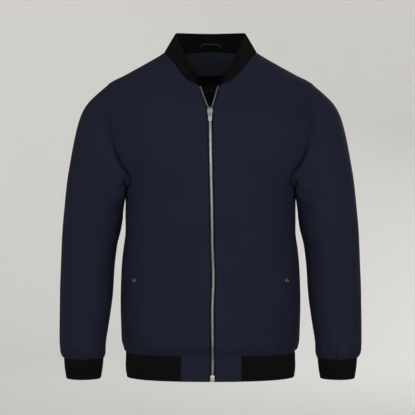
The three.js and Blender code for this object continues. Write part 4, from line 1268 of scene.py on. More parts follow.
# %% [markdown]
# The cuff is a closed tube of the same knit, a little narrower at the wrist. It bellies out
# slightly between its seam and its edge, because the stretched seam holds it open at the top
# and the knit springs back below.

# %% Cuffs
# outer x, inner x, level, middle y, half depth
CUFF_TOP, CUFF_LOW = (303.5, 222.5, -636.3, -35.5, 41.5), (298, 228, HEM_BOTTOM, -37.5, 37.5)
CUFF_LENGTH, TRIM_ROWS, CUFF_BELLY = 258.0, 5, 0.8


def cuff_grid(side):
    columns, ribs = rib_columns(CUFF_LENGTH)
    angle = np.radians(180 - 360 * columns)
    height, angle = np.meshgrid(edge_heights(TRIM_ROWS, False), angle, indexing="ij")
    out_x, in_x, z, y, depth = [mix(a, b, height) for a, b in zip(CUFF_LOW, CUFF_TOP)]
    half = (out_x - in_x) / 2
    points = np.stack([in_x + half + half * np.cos(angle), y - depth * np.sin(angle), z], axis=-1)
    normals = unit(np.stack([np.cos(angle) / half, -np.sin(angle) / depth, 0 * z], axis=-1))
    belly = CUFF_BELLY * np.sin(math.pi * height)
    flip = np.array([side, 1, 1])
    points = (points + normals * belly[..., None]) * flip
    return knit_grid(points, normals * flip, CUFF_LENGTH, ribs, False)


cuff_left, cuff_right = [
    cloth(f"{word}_cuff", [cuff_grid(side)], [RIB_KNIT], replaces=[f"cuff_{word}"])
    for word, side in SIDES]

# %% [markdown]
# The hem rib runs round the back from one front to the other. It stops short of the zip,
# where plain tabs take over. The ribs must be evenly spaced along the cloth, but equal turns
# are not equal lengths on a rounded rectangle. So the length is measured first and then
# shared out.

# %% Hem rib
TAB_GAP, HEM_SAMPLES, HEM_GAP, HEM_BELLY = 0.3, 400, 0.3, 0.6


def hem_grid(side):
    z_mid = (HEM_BOTTOM + SHELL_BOTTOM) / 2
    dense = np.linspace(float(turn_at_x(TAB_WIDTH + TAB_GAP, z_mid)), math.pi, HEM_SAMPLES)
    reach = edge_lengths(body_point(dense, np.full(HEM_SAMPLES, z_mid))[None], 1)[0][0]
    columns, ribs = rib_columns(reach[-1])
    turn = np.interp(columns * reach[-1], reach, dense)
    height, turn = np.meshgrid(edge_heights(TRIM_ROWS, False), turn, indexing="ij")
    z = mix(HEM_BOTTOM, SHELL_BOTTOM - HEM_GAP, height)
    normals = body_normal(turn, z)
    normals[:, -1, 0] = 0
    belly = HEM_BELLY * np.sin(math.pi * height)
    points = on_side(body_point(turn, z) + normals * belly[..., None], side)
    return knit_grid(points, unit(normals) * np.array([side, 1, 1]), reach[-1], ribs, False)


hem = cloth("ribbed_hem", [hem_grid(1), hem_grid(-1)], [RIB_KNIT],
            replaces=["hem_rib"])

# %% [markdown]
# Knit is too soft to carry a zip, so the lower ends of the zip sit on two plain tabs of
# shell cloth. Each is folded at the zip and at the bottom, stitched along both folds, and
# waves a little between them. It reaches just past the first rib, so no light shows through.

# %% Hem tabs
TAB_OVER, TAB_TOP_GAP, TAB_FOLD, TAB_GRID = 0.4, 0.02, 1.5, (40, 44)
# height, length, and the centre and width of the wave across and down the tab
TAB_WAVE, WAVE_LENGTH, WAVE_ACROSS, WAVE_DOWN = 0.35, 5.0, (30, 26), (12, 18)


def strip_on_front(side, x_from, x_to, levels, columns, lift, flat=False):
    """Grid on the front between two distances from the middle. flat: lifted straight ahead."""
    z, share = np.meshgrid(levels, np.linspace(0, 1, columns), indexing="ij")
    x = mix(x_from(z), x_to(z), share)
    turn = turn_at_x(np.abs(x), z)
    point = body_point(turn, z) * np.stack([np.sign(x), 1 + 0 * x, 1 + 0 * x], axis=-1)
    normals = body_normal(0 * turn if flat else turn, z)
    return on_side(point + normals * lift, side), normals * np.array([side, 1, 1]), x, z


def tab_grid(side):
    levels = np.linspace(HEM_BOTTOM, SHELL_BOTTOM - TAB_TOP_GAP, TAB_GRID[0])
    points, normals, x, z = strip_on_front(
        side, folded_edge, lambda z: TAB_WIDTH + TAB_OVER + 0 * z, levels, TAB_GRID[1], 0)
    low, top = z - HEM_BOTTOM, SHELL_BOTTOM - z
    lift = folded_hem(low, TAB_STITCH, TAB_FOLD) - TAB_LAP * np.exp(-top / LAP_WIDTH)
    lift += folded_hem(x - ZIP_EDGE, ZIP_STITCH) + seam_profile(TAB_WIDTH - x)
    spread = bump(x - WAVE_ACROSS[0], WAVE_ACROSS[1]) * bump(top - WAVE_DOWN[0], WAVE_DOWN[1])
    lift += TAB_WAVE * np.sin(z / WAVE_LENGTH + side) * spread
    outer = points + normals * lift[..., None]
    return rows_to_grid(outer, outer - normals * SHELL, np.stack([x, z], axis=-1))


tab_left, tab_right = [
    cloth(f"{word}_hem_tab", [tab_grid(side)], [SHELL_CLOTH],
          replaces=[f"hem_tab_{word}"])
    for word, side in SIDES]

# %% [markdown]
# Through the open neck one looks inside the back. The first thing there is a facing in shell
# cloth, which stiffens the neckline and carries the label. It follows the back panel and its
# creases from inside, at a small depth. Its lower edge is folded under and stitched.

# %% Neck facing
FACING_DEPTH, LINING_DEPTH, LABEL_DEPTH = SHELL + 1.2, SHELL + 2, SHELL + 4
FACING_ROWS, FACING_COLUMNS, FACING_FLARE, FACING_STITCH = 40, 110, 1.08, 3.2
FACING = {"bottom": -38.5, "side": 86, "rise": 14, "flat": 52, "gap": 3.5}


def inside_back(x, z, depth, carry=1.0):
    """Points inside the back at a depth, following the creases of the back panel."""
    turn = turn_at_x(np.abs(x), z, True)
    point, normals = body_point(turn, z), body_normal(turn, z)
    flip = np.stack([np.where(x < 0, -1, 1), 1 + 0 * x, 1 + 0 * x], axis=-1)
    lift = carry * back_lift(x, z) - depth
    return (point + normals * lift[..., None]) * flip, normals * flip


def facing_grid():
    """The facing, and the outward directions of the back panel along it."""
    ups, sides = np.linspace(0, 1, FACING_ROWS), np.linspace(-1, 1, FACING_COLUMNS)
    up, x_top = np.meshgrid(ups, sides * FACING["side"], indexing="ij")
    size = np.abs(x_top)
    beyond = np.maximum(0, (size - FACING["flat"]) / (FACING["side"] - FACING["flat"]))
    low = FACING["bottom"] + FACING["rise"] * beyond ** 2
    z = mix(low, neck_back_at(size) - FACING["gap"], up)
    x = x_top * mix(FACING_FLARE, 1, up)
    points, normals = inside_back(x, z, FACING_DEPTH)
    fold = -0.5 * bump(z - low, 1.2) - 0.25 * bump(z - low - FACING_STITCH, 0.9)
    inner = points - normals * (THIN + fold)[..., None]
    return rows_to_grid(points, inner, np.stack([x, z], axis=-1)), normals


facing_cloth, facing_normals = facing_grid()
facing = cloth("neck_facing", [facing_cloth], [FACING_CLOTH],
               replaces=["back_neck_facing"])

# %% [markdown]
# Below the facing hangs the lining: thin, black and a little loose, so that the arms slide
# in. It is cut like the back but stops short of the seams, and it has soft waves of its own,
# since slippery cloth never lies quite flat.

# %% Back lining
LINING_TOP = np.array([(0, -40), (50, -40.5), (93, -32), (121, -20)])
LINING_SIDE, LINING_LOWER, LINING_COLUMNS, LINING_ABOVE = 0.93, 60, 48, (50, 40)
LINING_SLACK, SLACK_WAVE, LINING_TRIM = 0.5, 19, 2
lining_top_at = curve(LINING_TOP, 1)


def lining_grid(side):
    row = rows_above(*LINING_ABOVE)
    turn, z = panel_places(True, LINING_LOWER, row, LINING_COLUMNS)
    top_x = np.clip((row - EDGE_ROWS) / NECK_ROWS, 0, 1) * LINING_TOP[-1, 0]
    rising = mix(UNDERARM, LINING_TOP[0, 1], row / EDGE_ROWS)
    top_z = np.where(row <= EDGE_ROWS, rising, lining_top_at(top_x))
    start_turn = np.concatenate([np.full(LINING_LOWER, math.pi), turn_at_x(top_x, top_z, True)])
    start_z = np.concatenate([z[:LINING_LOWER, 0], top_z])
    share = np.linspace(0, LINING_SIDE, LINING_COLUMNS)
    turn = mix(start_turn[:, None], turn[:, -1:], share)[LINING_TRIM:-LINING_TRIM]
    z = mix(start_z[:, None], z[:, -1:], share)[LINING_TRIM:-LINING_TRIM]
    points, normals = body_point(turn, z), body_normal(turn, z)
    wave = np.sin(z / SLACK_WAVE + 2.1 * np.sin(turn * 5)) * smoothstep((-60 - z) / 60)
    slack = LINING_SLACK * (wave - 1)
    lift = back_lift(side * points[..., 0], z) - LINING_DEPTH + slack
    points = points + normals * lift[..., None]
    flip = np.array([side, 1, 1])
    points, normals = points * flip, normals * flip
    uv = np.stack([turn * UV_ROUND * side, z], axis=-1)
    return rows_to_grid(points, points - normals * THIN, uv)


lining = cloth("back_lining", [lining_grid(1), lining_grid(-1)], [LINING_CLOTH],
               replaces=["lining_back"])

# %% [markdown]
# The label is a strip of black satin sewn to the facing along its top edge, so its lower end
# is free and curls a little. Its lower corners are rounded, and a woven band runs along
# them. This one is left blank.

# %% Label
BAND_GAP, BAND_THICK, CURL, CREASE_SHARE = 0.8, 0.35, 0.9, 0.6
LABEL = {"middle": -3, "half": 24, "top": -41, "bottom": -73, "corner": 7, "band": 3.4}


def label_bottom(u):
    """Level of the lower edge, with a quarter circle at each corner."""
    corner = LABEL["corner"] / LABEL["half"]
    edge = np.clip((np.abs(u) - (1 - corner)) / corner, 0, 1)
    return LABEL["bottom"] + LABEL["corner"] * (1 - np.sqrt(1 - edge ** 2))


def label_grid(low, high, depth, thick):
    v, u = np.meshgrid(np.linspace(0, 1, 28), np.linspace(-1, 1, 61), indexing="ij")
    z = mix(label_bottom(u) + low, np.minimum(label_bottom(u) + high, LABEL["top"]), v)
    x = LABEL["middle"] + LABEL["half"] * u
    points, normals = inside_back(x, z, depth, CREASE_SHARE)
    curl = CURL * smoothstep((LABEL["bottom"] + 16 - z) / 16) + 0.3 * np.sin(u * 4 + 1) * (1 - v)
    points = points - normals * curl[..., None]
    return rows_to_grid(points, points - normals * thick, np.stack([x, z], axis=-1))


label = cloth("blank_label", [label_grid(0, 40, LABEL_DEPTH, THIN)], [LABEL_CLOTH],
              replaces=["label"])
band_grid = label_grid(BAND_GAP, LABEL["band"], LABEL_DEPTH + THIN, BAND_THICK)
label_band = cloth("label_band", [band_grid], [FACING_CLOTH])

# %% [markdown]
# The hanger loop is a narrow strip of shell cloth, folded and caught in the neck seam at
# both ends. It carries the whole jacket on a peg. It is made as a flat band along an arch
# with round shoulders, and its feet bend back into the seam.

# %% Hanger loop
LOOP = {"middle": 0.5, "half": 24.5, "rise": 14, "band": 4.6, "thick": 1.4, "corner": 9}
LOOP_CLEAR, LOOP_LEAN, FOOT_LOW, FOOT_BACK = 5.5, 2.5, -5, 5.2


def loop_frame():
    """Where the loop stands, and its directions upwards and into the neck."""
    low = collar_surface(np.array(1.0), np.array(0.0))
    high = collar_surface(np.array(1.0), np.array(0.5))
    lean = math.atan2(low[1] - high[1], high[2] - low[2])
    place_at = np.array([LOOP["middle"], low[1] - KNIT - LOOP_CLEAR, low[2] + 1])
    up = np.array([0, -math.sin(lean), math.cos(lean)])
    return place_at, up, np.array([0, -math.cos(lean), -math.sin(lean)])


def loop_grid():
    """A flat band along an arch; its feet bend back into the neck seam."""
    place_at, up, out = loop_frame()
    inset = LOOP["band"] / 2
    half, rise, corner = LOOP["half"] - inset, LOOP["rise"] - inset, LOOP["corner"] - inset
    turn = np.linspace(0, math.pi / 2, 14)
    leg = np.linspace(FOOT_LOW, rise - corner, 12, endpoint=False)
    bend_x = half - LOOP_LEAN - corner + corner * np.cos(turn)
    bend_z = rise - corner + corner * np.sin(turn)
    leg_x = half - LOOP_LEAN * np.clip(leg / (rise - corner), 0, 1)
    right = np.stack([np.concatenate([leg_x, bend_x]), np.concatenate([leg, bend_z])], axis=-1)
    top_x = np.linspace(right[-1, 0], -right[-1, 0], 16)[1:-1]
    top = np.stack([top_x, np.full_like(top_x, rise)], axis=-1)
    path = np.concatenate([right, top, right[::-1] * np.array([-1, 1])])
    along = np.gradient(path, axis=0)
    along /= np.linalg.norm(along, axis=1, keepdims=True)
    aside = np.stack([along[:, 1], -along[:, 0]], axis=-1)
    share = np.linspace(-1, 1, 11)
    flat = path[:, None] + aside[:, None] * share[None, :, None] * inset
    back = FOOT_BACK * (1 - smoothstep((flat[..., 1] + 4) / 9))
    thin = 1 - 0.6 * np.abs(share) ** 6
    base = place_at + flat[..., :1] * np.array([1, 0, 0]) + flat[..., 1:] * up
    base = base - out * back[..., None]
    outer = base + out * (LOOP["thick"] * (0.5 + 0.5 * thin))[None, :, None]
    inner = base + out * (LOOP["thick"] * (0.5 - 0.5 * thin))[None, :, None]
    return rows_to_grid(outer, inner, flat)


loop = cloth("hanging_loop", [loop_grid()], [FACING_CLOTH], replaces=["hanger_loop"])

# %% [markdown]
# The side pockets are slanted welts: a folded strip of shell cloth set over the opening.
# They are almost invisible in the same navy, apart from the stitching round them and the
# press stud in the middle of each.

# %% Pocket welts
WELT = {"top": (139, -391), "low": (170, -557), "half": 11, "show": 1.2, "sunk": 0.3}
WELT_ROWS, WELT_COLUMNS, WELT_ROUND, WELT_THIN = 90, 21, 0.12, 0.6


def welt_axis(share):
    """Middle of the welt from its top to its lower end: distance from the zip, and level."""
    return mix(WELT["top"][0], WELT["low"][0], share), mix(WELT["top"][1], WELT["low"][1], share)


def welt_grid(side):
    down, sideways = np.linspace(1, 0, WELT_ROWS), np.linspace(-1, 1, WELT_COLUMNS)
    share, across = np.meshgrid(down, sideways, indexing="ij")
    middle, z = welt_axis(share)
    x = middle + across * WELT["half"]
    turn = turn_at_x(x, z)
    normals = body_normal(turn, z)
    edge = np.minimum(1 - np.abs(across), np.minimum(share, 1 - share) * 15)
    thin = 1 - np.sqrt(np.clip(edge / WELT_ROUND, 0, 1))
    swell = 0.2 * bump(across + 0.55, 0.3) - 0.3 * bump(across + 0.95, 0.12)
    below = front_lift(side * x, z, side)
    lift = below + WELT["show"] * (1 - WELT_THIN * thin) + swell
    points = on_side(body_point(turn, z), side)
    normals = normals * np.array([side, 1, 1])
    outer = points + normals * lift[..., None]
    inner = points + normals * (below - WELT["sunk"])[..., None]
    return rows_to_grid(outer, inner, np.stack([x, z], axis=-1))


welts = {}
for word, side in SIDES:
    welts[word] = cloth(f"{word}_pocket_welt", [welt_grid(side)], [SHELL_CLOTH],
                        replaces=[f"pocket_welt_{word}"])

# %% [markdown]
# The zip is sewn in by its tapes, two narrow strips of strong weave that lie behind the
# folded front edges. Each has a cord along its inner edge, on which the teeth are clamped.
# Only the part between the fold and the teeth is ever seen, as a dark line.

# %% Zip tapes
TAPE_IN, TAPE_OUT, TAPE_DEPTH = 4.4, 9, SHELL + 0.8
TAPE_LOW, TAPE_HIGH, TAPE_ROWS, TAPE_COLUMNS = 0.4, 2, 241, 12
CORD, CORD_PLACE, CORD_WIDTH = 0.7, 0.7, 0.8


def tape_grid(side):
    levels = np.linspace(HEM_BOTTOM + TAPE_LOW, NECK_FRONT - TAPE_HIGH, TAPE_ROWS)
    points, normals, x, z = strip_on_front(
        side, lambda z: front_edge(z) - TAPE_IN, lambda z: front_edge(z) + TAPE_OUT,
        levels, TAPE_COLUMNS, -TAPE_DEPTH, flat=True)
    cord = CORD * bump(x - front_edge(z) + TAPE_IN - CORD_PLACE, CORD_WIDTH)
    outer = points + normals * cord[..., None]
    return rows_to_grid(outer, points - normals * THIN, np.stack([x, z], axis=-1))


tapes = {}
for word, side in SIDES:
    tapes[word] = cloth(f"{word}_zip_tape", [tape_grid(side)], [TAPE_CLOTH],
                        replaces=[f"zip_tape_{word}"])

# %% [markdown]
# Teeth, studs and stitches are many small solids of one shape. Each is a stack of rings with
# a cap at both ends. Putting them all in one mesh keeps the scene small, where an object for
# each of five hundred teeth would make it slow.

# %% Solids from rings
SHARP_METAL = 35


def solid_from(name, rings, material, replaces=()):
    """One mesh of many small solids, each a stack of point rings closed at both ends."""
    points, faces = [], []
    for stack in rings:
        count, base = stack.shape[1], len(points)
        points.extend((stack.reshape(-1, 3) * MM).tolist())
        for r in range(stack.shape[0] - 1):
            low, high = base + r * count, base + (r + 1) * count
            faces += [(low + i, low + (i + 1) % count, high + (i + 1) % count, high + i)
                      for i in range(count)]
        last = base + (stack.shape[0] - 1) * count
        faces.append(tuple(base + i for i in range(count))[::-1])
        faces.append(tuple(last + i for i in range(count)))
    mesh = bpy.data.meshes.new(name)
    mesh.from_pydata(points, [], faces)
    mesh.materials.append(material)
    work = bmesh.new()
    work.from_mesh(mesh)
    bmesh.ops.recalc_face_normals(work, faces=work.faces)
    work.to_mesh(mesh)
    work.free()
    mesh.polygons.foreach_set("use_smooth", np.ones(len(mesh.polygons), dtype=bool))
    mesh.set_sharp_from_angle(angle=math.radians(SHARP_METAL))
    return place(name, mesh, "jacket", replaces)


print("edges sharper than", SHARP_METAL, "degrees stay crisp on small solids")

# %% [markdown]
# Each metal tooth has a narrow foot on the tape and a wider head. Below the slider the two
# rows stand half a pitch apart, so that every head sits in the gap between two others. Above
# it they follow the V of the front edges. Each tooth turns with its own tape.

# %% Zip teeth
CHAIN_HALF, CHAIN_RISE = 2.8, 0.7
TOOTH_PITCH, TOOTH_BACK, OPEN_REACH, FOOT_IN = 2.3, -1.5, 0.76, 0.2
BOX_TOP, TOOTH_GAP, SLIDER_GAP, NECK_GAP = -664.5, 1.2, 0.6, 3.5
TOOTH = np.array([
    # across the chain from its foot, half height along the chain
    (0, 0.42), (0.9, 0.5), (1.5, 0.72), (3.0, 0.72), (3.7, 0.45),
])


# steps of a tooth from back to front: depth, size of the outline
TOOTH_STEPS = [(TOOTH_BACK, 0.9), (TOOTH_BACK + 0.3, 1), (CHAIN_RISE - 0.35, 1), (CHAIN_RISE, 0.72)]


def chain_point(x, z, side):
    """Point beside the zip and the direction straight out from it."""
    point = body_point(turn_at_x(x, z), z)
    return on_side(point, side), body_normal(np.zeros_like(z), z)


def teeth_row(levels, foot_at, side, reach):
    """Teeth on one tape: foot_at gives the foot's distance from the middle."""
    spot, normal = chain_point(foot_at(levels), levels, side)
    ahead = chain_point(foot_at(levels + 0.5), levels + 0.5, side)[0]
    along = unit(ahead - spot)
    inward = unit(np.cross(along, normal * np.array([side, 1, 1])))
    inward *= -np.sign(inward[:, :1] * side)
    outline = np.concatenate([TOOTH, TOOTH[::-1] * np.array([1, -1])]) * np.array([reach, 1])
    middle = outline.mean(axis=0)
    rings = []
    for place_at, up, across, out in zip(spot, along, inward, normal):
        stack = []
        for depth, size in TOOTH_STEPS:
            flat = middle + (outline - middle) * size
            stack.append([place_at + across * a + up * b + out * depth for a, b in flat])
        rings.append(np.array(stack))
    return rings


def open_foot(z):
    return front_edge(z) - ZIP_EDGE + FOOT_IN + CHAIN_HALF


def closed_foot(z):
    return CHAIN_HALF + 0 * z


# The open teeth take the lighter fitting metal and the closed chain the darker zip metal: the open
# teeth's extra lightness is painted light.
upper = np.arange(SLIDER_TOP + TOOTH_GAP, NECK_FRONT - NECK_GAP, TOOTH_PITCH)
for word, side in SIDES:
    solid_from(f"{word}_open_teeth", teeth_row(upper, open_foot, side, OPEN_REACH),
               FITTING_AND_LIT_TEETH_METAL, [f"zip_teeth_{word}"])
closed = np.arange(BOX_TOP + TOOTH_GAP, SLIDER_TOP - SLIDER_LENGTH - SLIDER_GAP, TOOTH_PITCH)
chain = teeth_row(closed, closed_foot, 1, 1.0)
chain += teeth_row(closed + TOOTH_PITCH / 2, closed_foot, -1, 1.0)
solid_from("closed_zip_teeth", chain, ZIP_METAL, ["zip_chain"])

# %% [markdown]
# The hard fittings are die-cast, so they keep the shape of their solids with their sharp
# edges broken. Starting from the imported solid and bevelling it is safer than modelling it
# again. The pull rides on its own body.

# %% Slider, pull and bottom box
SHARP_CAST, BEVEL_FROM, FLAT_WITHIN = 32, 28, 2
WELD = 1e-6


def broken_edges(name, node, width, body):
    """The solid of a node with its edges bevelled by a width in millimetres."""
    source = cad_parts[node]
    work = bmesh.new()
    work.from_mesh(source.data)
    work.transform(source.matrix_world)
    bmesh.ops.remove_doubles(work, verts=work.verts, dist=WELD)
    bmesh.ops.dissolve_limit(
        work, angle_limit=math.radians(FLAT_WITHIN), verts=work.verts, edges=work.edges)
    edges = [edge for edge in work.edges if len(edge.link_faces) == 2
             and edge.calc_face_angle() > math.radians(BEVEL_FROM)]
    bmesh.ops.bevel(work, geom=edges, offset=width * MM, segments=2, profile=0.6,
                    affect="EDGES", clamp_overlap=True)
    mesh = bpy.data.meshes.new(name)
    work.to_mesh(mesh)
    work.free()
    mesh.materials.append(FITTING_AND_LIT_TEETH_METAL)
    mesh.polygons.foreach_set("use_smooth", np.ones(len(mesh.polygons), dtype=bool))
    mesh.set_sharp_from_angle(angle=math.radians(SHARP_CAST))
    return place(name, mesh, body, [node])


broken_edges("slider_body", "zip_slider", 0.3, "jacket")
broken_edges("pull_tab", "zip_pull", 0.22, "pull")
broken_edges("bottom_box", "zip_box", 0.3, "jacket")

# %% [markdown]
# A press stud is a small turned cap with a raised rim and a shallow dish. Its profile is
# spun round the stud's axis, which stands straight out from the cloth. It is dark plated,
# so that only the rim catches the light.

# %% Press studs
STUD_SEAT, STUD_SIDES = 0.5, 48
STUD_PROFILE = np.array([
    # radius, rise above the welt
    (5.0, -0.2), (5.0, 1.0), (4.85, 1.6), (4.5, 2.05), (4.05, 2.2), (3.65, 2.0), (3.4, 1.6),
    (3.1, 1.5), (2.2, 1.62), (1.1, 1.7), (0.25, 1.72),
])


def stud_rings(side):
    x, z = welt_axis(0.5)
    turn = turn_at_x(np.array(x), np.array(float(z)))
    normal = body_normal(turn, z) * np.array([side, 1, 1])
    centre = on_side(body_point(turn, z), side) + normal * (WELT["show"] + STUD_SEAT)
    aside = unit(np.cross(normal, np.array([0, 0, 1.0])))
    upright = np.cross(aside, normal)
    angle = np.linspace(0, 2 * math.pi, STUD_SIDES, endpoint=False)
    circle = np.cos(angle)[:, None] * aside + np.sin(angle)[:, None] * upright
    return [np.array([centre + circle * radius + normal * rise for radius, rise in STUD_PROFILE])]


for word, side in SIDES:
    solid_from(f"{word}_press_stud", stud_rings(side), STUD_METAL,
               [f"pocket_stud_{word}"])

# %% [markdown]
# Topstitching is sewn three millimetres a stitch. Each stitch is a short length of thread
# that comes up out of the cloth, lies on it and goes down again. It follows the finished
# cloth, so the paths are read from the panels themselves, at a set distance from an edge.

# %% Stitch tools
STITCH, STITCH_GAP, THREAD_RADIUS, THREAD_SIDES = 2.9, 0.9, 0.27, 6
LOOK_AHEAD = 0.5
# share of the stitch, thickness of the thread there, height above the cloth
STITCH_SHAPE = ((0, 0.3, -0.15), (0.22, 1, 0.12), (0.78, 1, 0.12), (1, 0.3, -0.15))


def along_path(at, reach, values):
    """Value at a distance along a path, whose points lie at the distances in reach."""
    return np.array([np.interp(at, reach, values[:, i]) for i in range(3)])


def inset_path(points, distance, from_end=False, axis=1):
    """The line on a grid at a set distance from the start or end of its rows."""
    if axis == 0:
        points = points.swapaxes(0, 1)
    if from_end:
        points = points[:, ::-1]
    reach = edge_lengths(points, 1)[0]
    return np.array([along_path(distance, r, row) for r, row in zip(reach, points)])


def stitch_rings(path, outward):
    """Stitches along a path, standing out from the cloth in the outward directions."""
    reach = edge_lengths(path[None], 1)[0][0]
    angle = np.linspace(0, 2 * math.pi, THREAD_SIDES, endpoint=False)
    rings = []
    for start in np.arange(LOOK_AHEAD, reach[-1] - STITCH, STITCH + STITCH_GAP):
        stack = []
        for share, size, rise in STITCH_SHAPE:
            at = start + share * STITCH
            spot, normal = along_path(at, reach, path), along_path(at, reach, outward)
            ahead = along_path(at + LOOK_AHEAD, reach, path)
            behind = along_path(at - LOOK_AHEAD, reach, path)
            aside = unit(np.cross(ahead - behind, normal))
            ring = np.cos(angle)[:, None] * aside + np.sin(angle)[:, None] * normal
            stack.append(spot + normal * rise + ring * THREAD_RADIUS * size)
        rings.append(np.array(stack))
    return rings


def line_at(grid, distance, from_end=False, axis=1, rows=slice(None)):
    """Stitches at a distance from the start or end of a grid's rows, or of its columns."""
    outward = unit(grid["outer"] - grid["inner"])
    path = inset_path(grid["outer"], distance, from_end, axis)[rows]
    edge = np.take(outward, -1 if from_end else 0, axis=axis)
    return stitch_rings(path, edge[rows])


print("one stitch every", round(STITCH + STITCH_GAP, 1), "mm")

# %% [markdown]
# The zip edge, the tabs and the neckline are topstitched to hold the folded cloth flat, and
# each welt is stitched all round. In navy thread on navy cloth this is hardly seen, but it
# is what the eye looks for from close up. The stitches on the facing's fold are coloured
# much paler than the facing.

# %% Stitching
WELT_SIDE_STITCH, WELT_END_STITCH, FACING_LINE = 2.2, 3.0, 1.0
SHORT_OF_ENDS = slice(3, -3)

front_stitches, back_stitches = [], []
for word, side in SIDES:
    front = panel_grid(False, side)
    front_stitches += line_at(front, ZIP_STITCH, rows=slice(1, NECK_START))
    front_stitches += line_at(front, NECK_STITCH, rows=slice(NECK_START, -1))
    back_stitches += line_at(panel_grid(True, side), NECK_STITCH, rows=slice(NECK_START, -1))
for word, side in SIDES:
    tab, welt = tab_grid(side), welt_grid(side)
    front_stitches += line_at(tab, ZIP_STITCH, rows=slice(3, -2))
    front_stitches += line_at(tab, TAB_STITCH, axis=0, rows=slice(4, -3))
    for at_end in (False, True):
        front_stitches += line_at(welt, WELT_SIDE_STITCH, at_end, 1, SHORT_OF_ENDS)
        front_stitches += line_at(welt, WELT_END_STITCH, at_end, 0, SHORT_OF_ENDS)
solid_from("front_topstitching", front_stitches, THREAD)
solid_from("back_neck_topstitching", back_stitches, THREAD)

facing_fold = inset_path(facing_cloth["inner"], FACING_LINE, axis=0)
solid_from("facing_stitching", stitch_rings(facing_fold, -facing_normals[0]), FACING_THREAD)

# %% [markdown]
# Every cloth piece is listed with the size it would be laid flat. No pattern was at hand,
# so where a cut isn't a rectangle its area is read from the finished piece itself. The
# printed comparison is therefore a real check only for the rectangles.

# %% Cloth sizes
SEWN_CLOTH = [
    # piece, width and length of its cut, area of the cut, how it is held, what it is sewn to
    (front_left, 0.245, 0.64, 0.140, "hung", ["back_panel"], []),
    (front_right, 0.245, 0.64, 0.142, "hung", ["back_panel"], []),
    (back, 0.50, 0.65, 0.300, "hung", ["ribbed_collar"], []),
    (sleeve_left, 0.46, 0.60, 0.180, "hung", ["left_front", "back_panel"], []),
    (sleeve_right, 0.46, 0.60, 0.180, "hung", ["right_front", "back_panel"], []),
    (collar, 0.46, 0.062, 0.0215, "stretched", ["back_panel"], []),
    (cuff_left, 0.258, 0.042, None, "stretched", ["left_sleeve"], []),
    (cuff_right, 0.258, 0.042, None, "stretched", ["right_sleeve"], []),
    (hem, 0.87, 0.051, None, "stretched", ["back_panel"], []),
    (tab_left, 0.058, 0.051, None, "folded", ["left_front"], []),
    (tab_right, 0.058, 0.051, None, "folded", ["right_front"], []),
    (facing, 0.185, 0.054, None, "hung", ["back_panel"], []),
    (lining, 0.48, 0.60, 0.252, "hung", ["neck_facing"], []),
    (label, 0.048, 0.032, None, "hung", ["neck_facing"], [label_band]),
    (loop, 0.012, 0.075, 0.00042, "folded", ["neck_facing"], []),
    (welts["left"], 0.026, 0.172, None, "folded", ["left_front"], []),
    (welts["right"], 0.026, 0.172, None, "folded", ["right_front"], []),
    (tapes["left"], 0.0138, 0.60, None, "hung", ["left_front"], []),
    (tapes["right"], 0.0138, 0.60, None, "hung", ["right_front"], []),
]

for piece, width, length, area, held, sewn_to, with_pieces in SEWN_CLOTH:
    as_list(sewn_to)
    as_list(with_pieces)
    shown = sum(p.area for p in piece.data.polygons) / 2
    print(f"{piece.name}: cut {area or width * length:.4f} m2, one face {shown:.4f} m2")

# %% [markdown]
# The jacket stands over a round floor of pale paper that curves up into a wall, so there is
# no line where the floor ends. The wall goes all the way round, which gives the metal
# something pale to reflect. A camera outside the bowl would see only its back, so paper that
# is seen from behind is clear to the camera.

# %% Paper bowl
FLOOR, BOWL_RADIUS, SWEEP, BOWL_TOP, BOWL_SIDES = -0.90, 3.9, 1.3, 3.0, 96


def paper_material():
    """Pale paper that a camera outside the bowl sees through."""
    paper, tree, shader = base_material("pale_paper", 0.9, specular=0.1)
    shader.inputs["Base Color"].default_value = (0.70, 0.69, 0.67, 1)
    facing = tree.nodes.new("ShaderNodeNewGeometry")
    ray = tree.nodes.new("ShaderNodeLightPath")
    clear = tree.nodes.new("ShaderNodeBsdfTransparent")
    blend = tree.nodes.new("ShaderNodeMixShader")
    behind = math_node(tree, "MULTIPLY", facing.outputs["Backfacing"], ray.outputs["Is Camera Ray"])
    tree.links.new(behind, blend.inputs[0])
    tree.links.new(shader.outputs[0], blend.inputs[1])
    tree.links.new(clear.outputs[0], blend.inputs[2])
    tree.links.new(blend.outputs[0], tree.nodes["Material Output"].inputs["Surface"])
    return paper


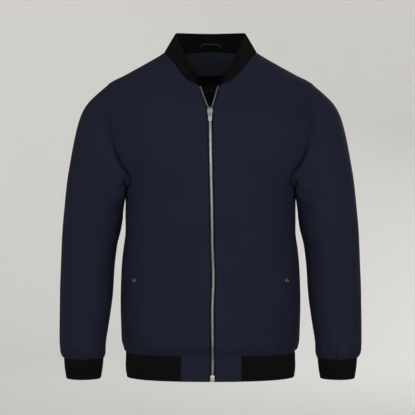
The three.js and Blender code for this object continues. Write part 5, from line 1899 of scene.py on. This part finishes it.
def paper_bowl():
    """A round floor that curves up into a wall on every side."""
    bend = [(BOWL_RADIUS - SWEEP + SWEEP * math.sin(t), FLOOR + SWEEP - SWEEP * math.cos(t))
            for t in np.linspace(0, math.pi / 2, 20)]
    line = [(0.4, FLOOR)] + bend + [(BOWL_RADIUS, BOWL_TOP)]
    turns = np.linspace(0, 2 * math.pi, BOWL_SIDES, endpoint=False)
    points = [(r * math.cos(t), r * math.sin(t), z) for r, z in line for t in turns]
    faces = [tuple(range(BOWL_SIDES))]
    for ring in range(len(line) - 1):
        for i in range(BOWL_SIDES):
            low, turn = ring * BOWL_SIDES, (i + 1) % BOWL_SIDES
            faces.append((low + i, low + BOWL_SIDES + i, low + BOWL_SIDES + turn, low + turn))
    mesh = bpy.data.meshes.new("paper_bowl")
    mesh.from_pydata(points, [], faces)
    mesh.polygons.foreach_set("use_smooth", np.ones(len(faces), dtype=bool))
    mesh.materials.append(paper_material())
    bowl = bpy.data.objects.new("paper_bowl", mesh)
    bpy.context.scene.collection.objects.link(bowl)
    print("paper bowl:", len(faces), "faces")


paper_bowl()

# %% [markdown]
# Large soft lights stand on both sides of the camera. Dark cloth needs broad light: a small
# lamp would draw hard highlights on the weave, while a wide one lets the form turn slowly
# from light to dark. One light brightens the wall, and one behind lifts the far side.

# %% Lights
CHEST = (0, 0, -0.33)


def area_light(name, place_at, target, size, watts):
    data = bpy.data.lights.new(name, "AREA")
    data.shape = "RECTANGLE"
    data.size, data.size_y = size
    data.energy = watts
    light = bpy.data.objects.new(name, data)
    light.location = place_at
    aim = Vector(target) - Vector(place_at)
    light.rotation_euler = aim.to_track_quat("-Z", "Y").to_euler()
    bpy.context.scene.collection.objects.link(light)


area_light("key", (-2.1, -2.3, 0.8), CHEST, (2.2, 2.2), 46)
area_light("fill", (2.1, -2.3, 0.6), CHEST, (2.2, 2.2), 41)
area_light("front", (0, -3.4, 0.5), CHEST, (1.5, 1.5), 34)
area_light("top", (0, -0.9, 2.0), CHEST, (2.4, 1.4), 4)
area_light("backdrop", (0, 1.2, 2.6), (0, 3.9, -0.3), (3.0, 0.8), 36)
area_light("rear", (1.6, 2.6, 1.2), CHEST, (1.8, 1.8), 36)

print("lights", len(bpy.data.lights))

# %% [markdown]
# A room is never quite black, so a faint cool sky fills the deepest shadows. The view
# transform is the plain one, because a film-like curve would lift the black knit to grey.

# %% Room light
world = bpy.data.worlds.new("studio")
world.use_nodes = True
world.node_tree.nodes["Background"].inputs["Color"].default_value = (0.9, 0.93, 1.0, 1)
world.node_tree.nodes["Background"].inputs["Strength"].default_value = 0.05
bpy.context.scene.world = world
bpy.context.scene.view_settings.view_transform = "Standard"
print("view transform", bpy.context.scene.view_settings.view_transform)
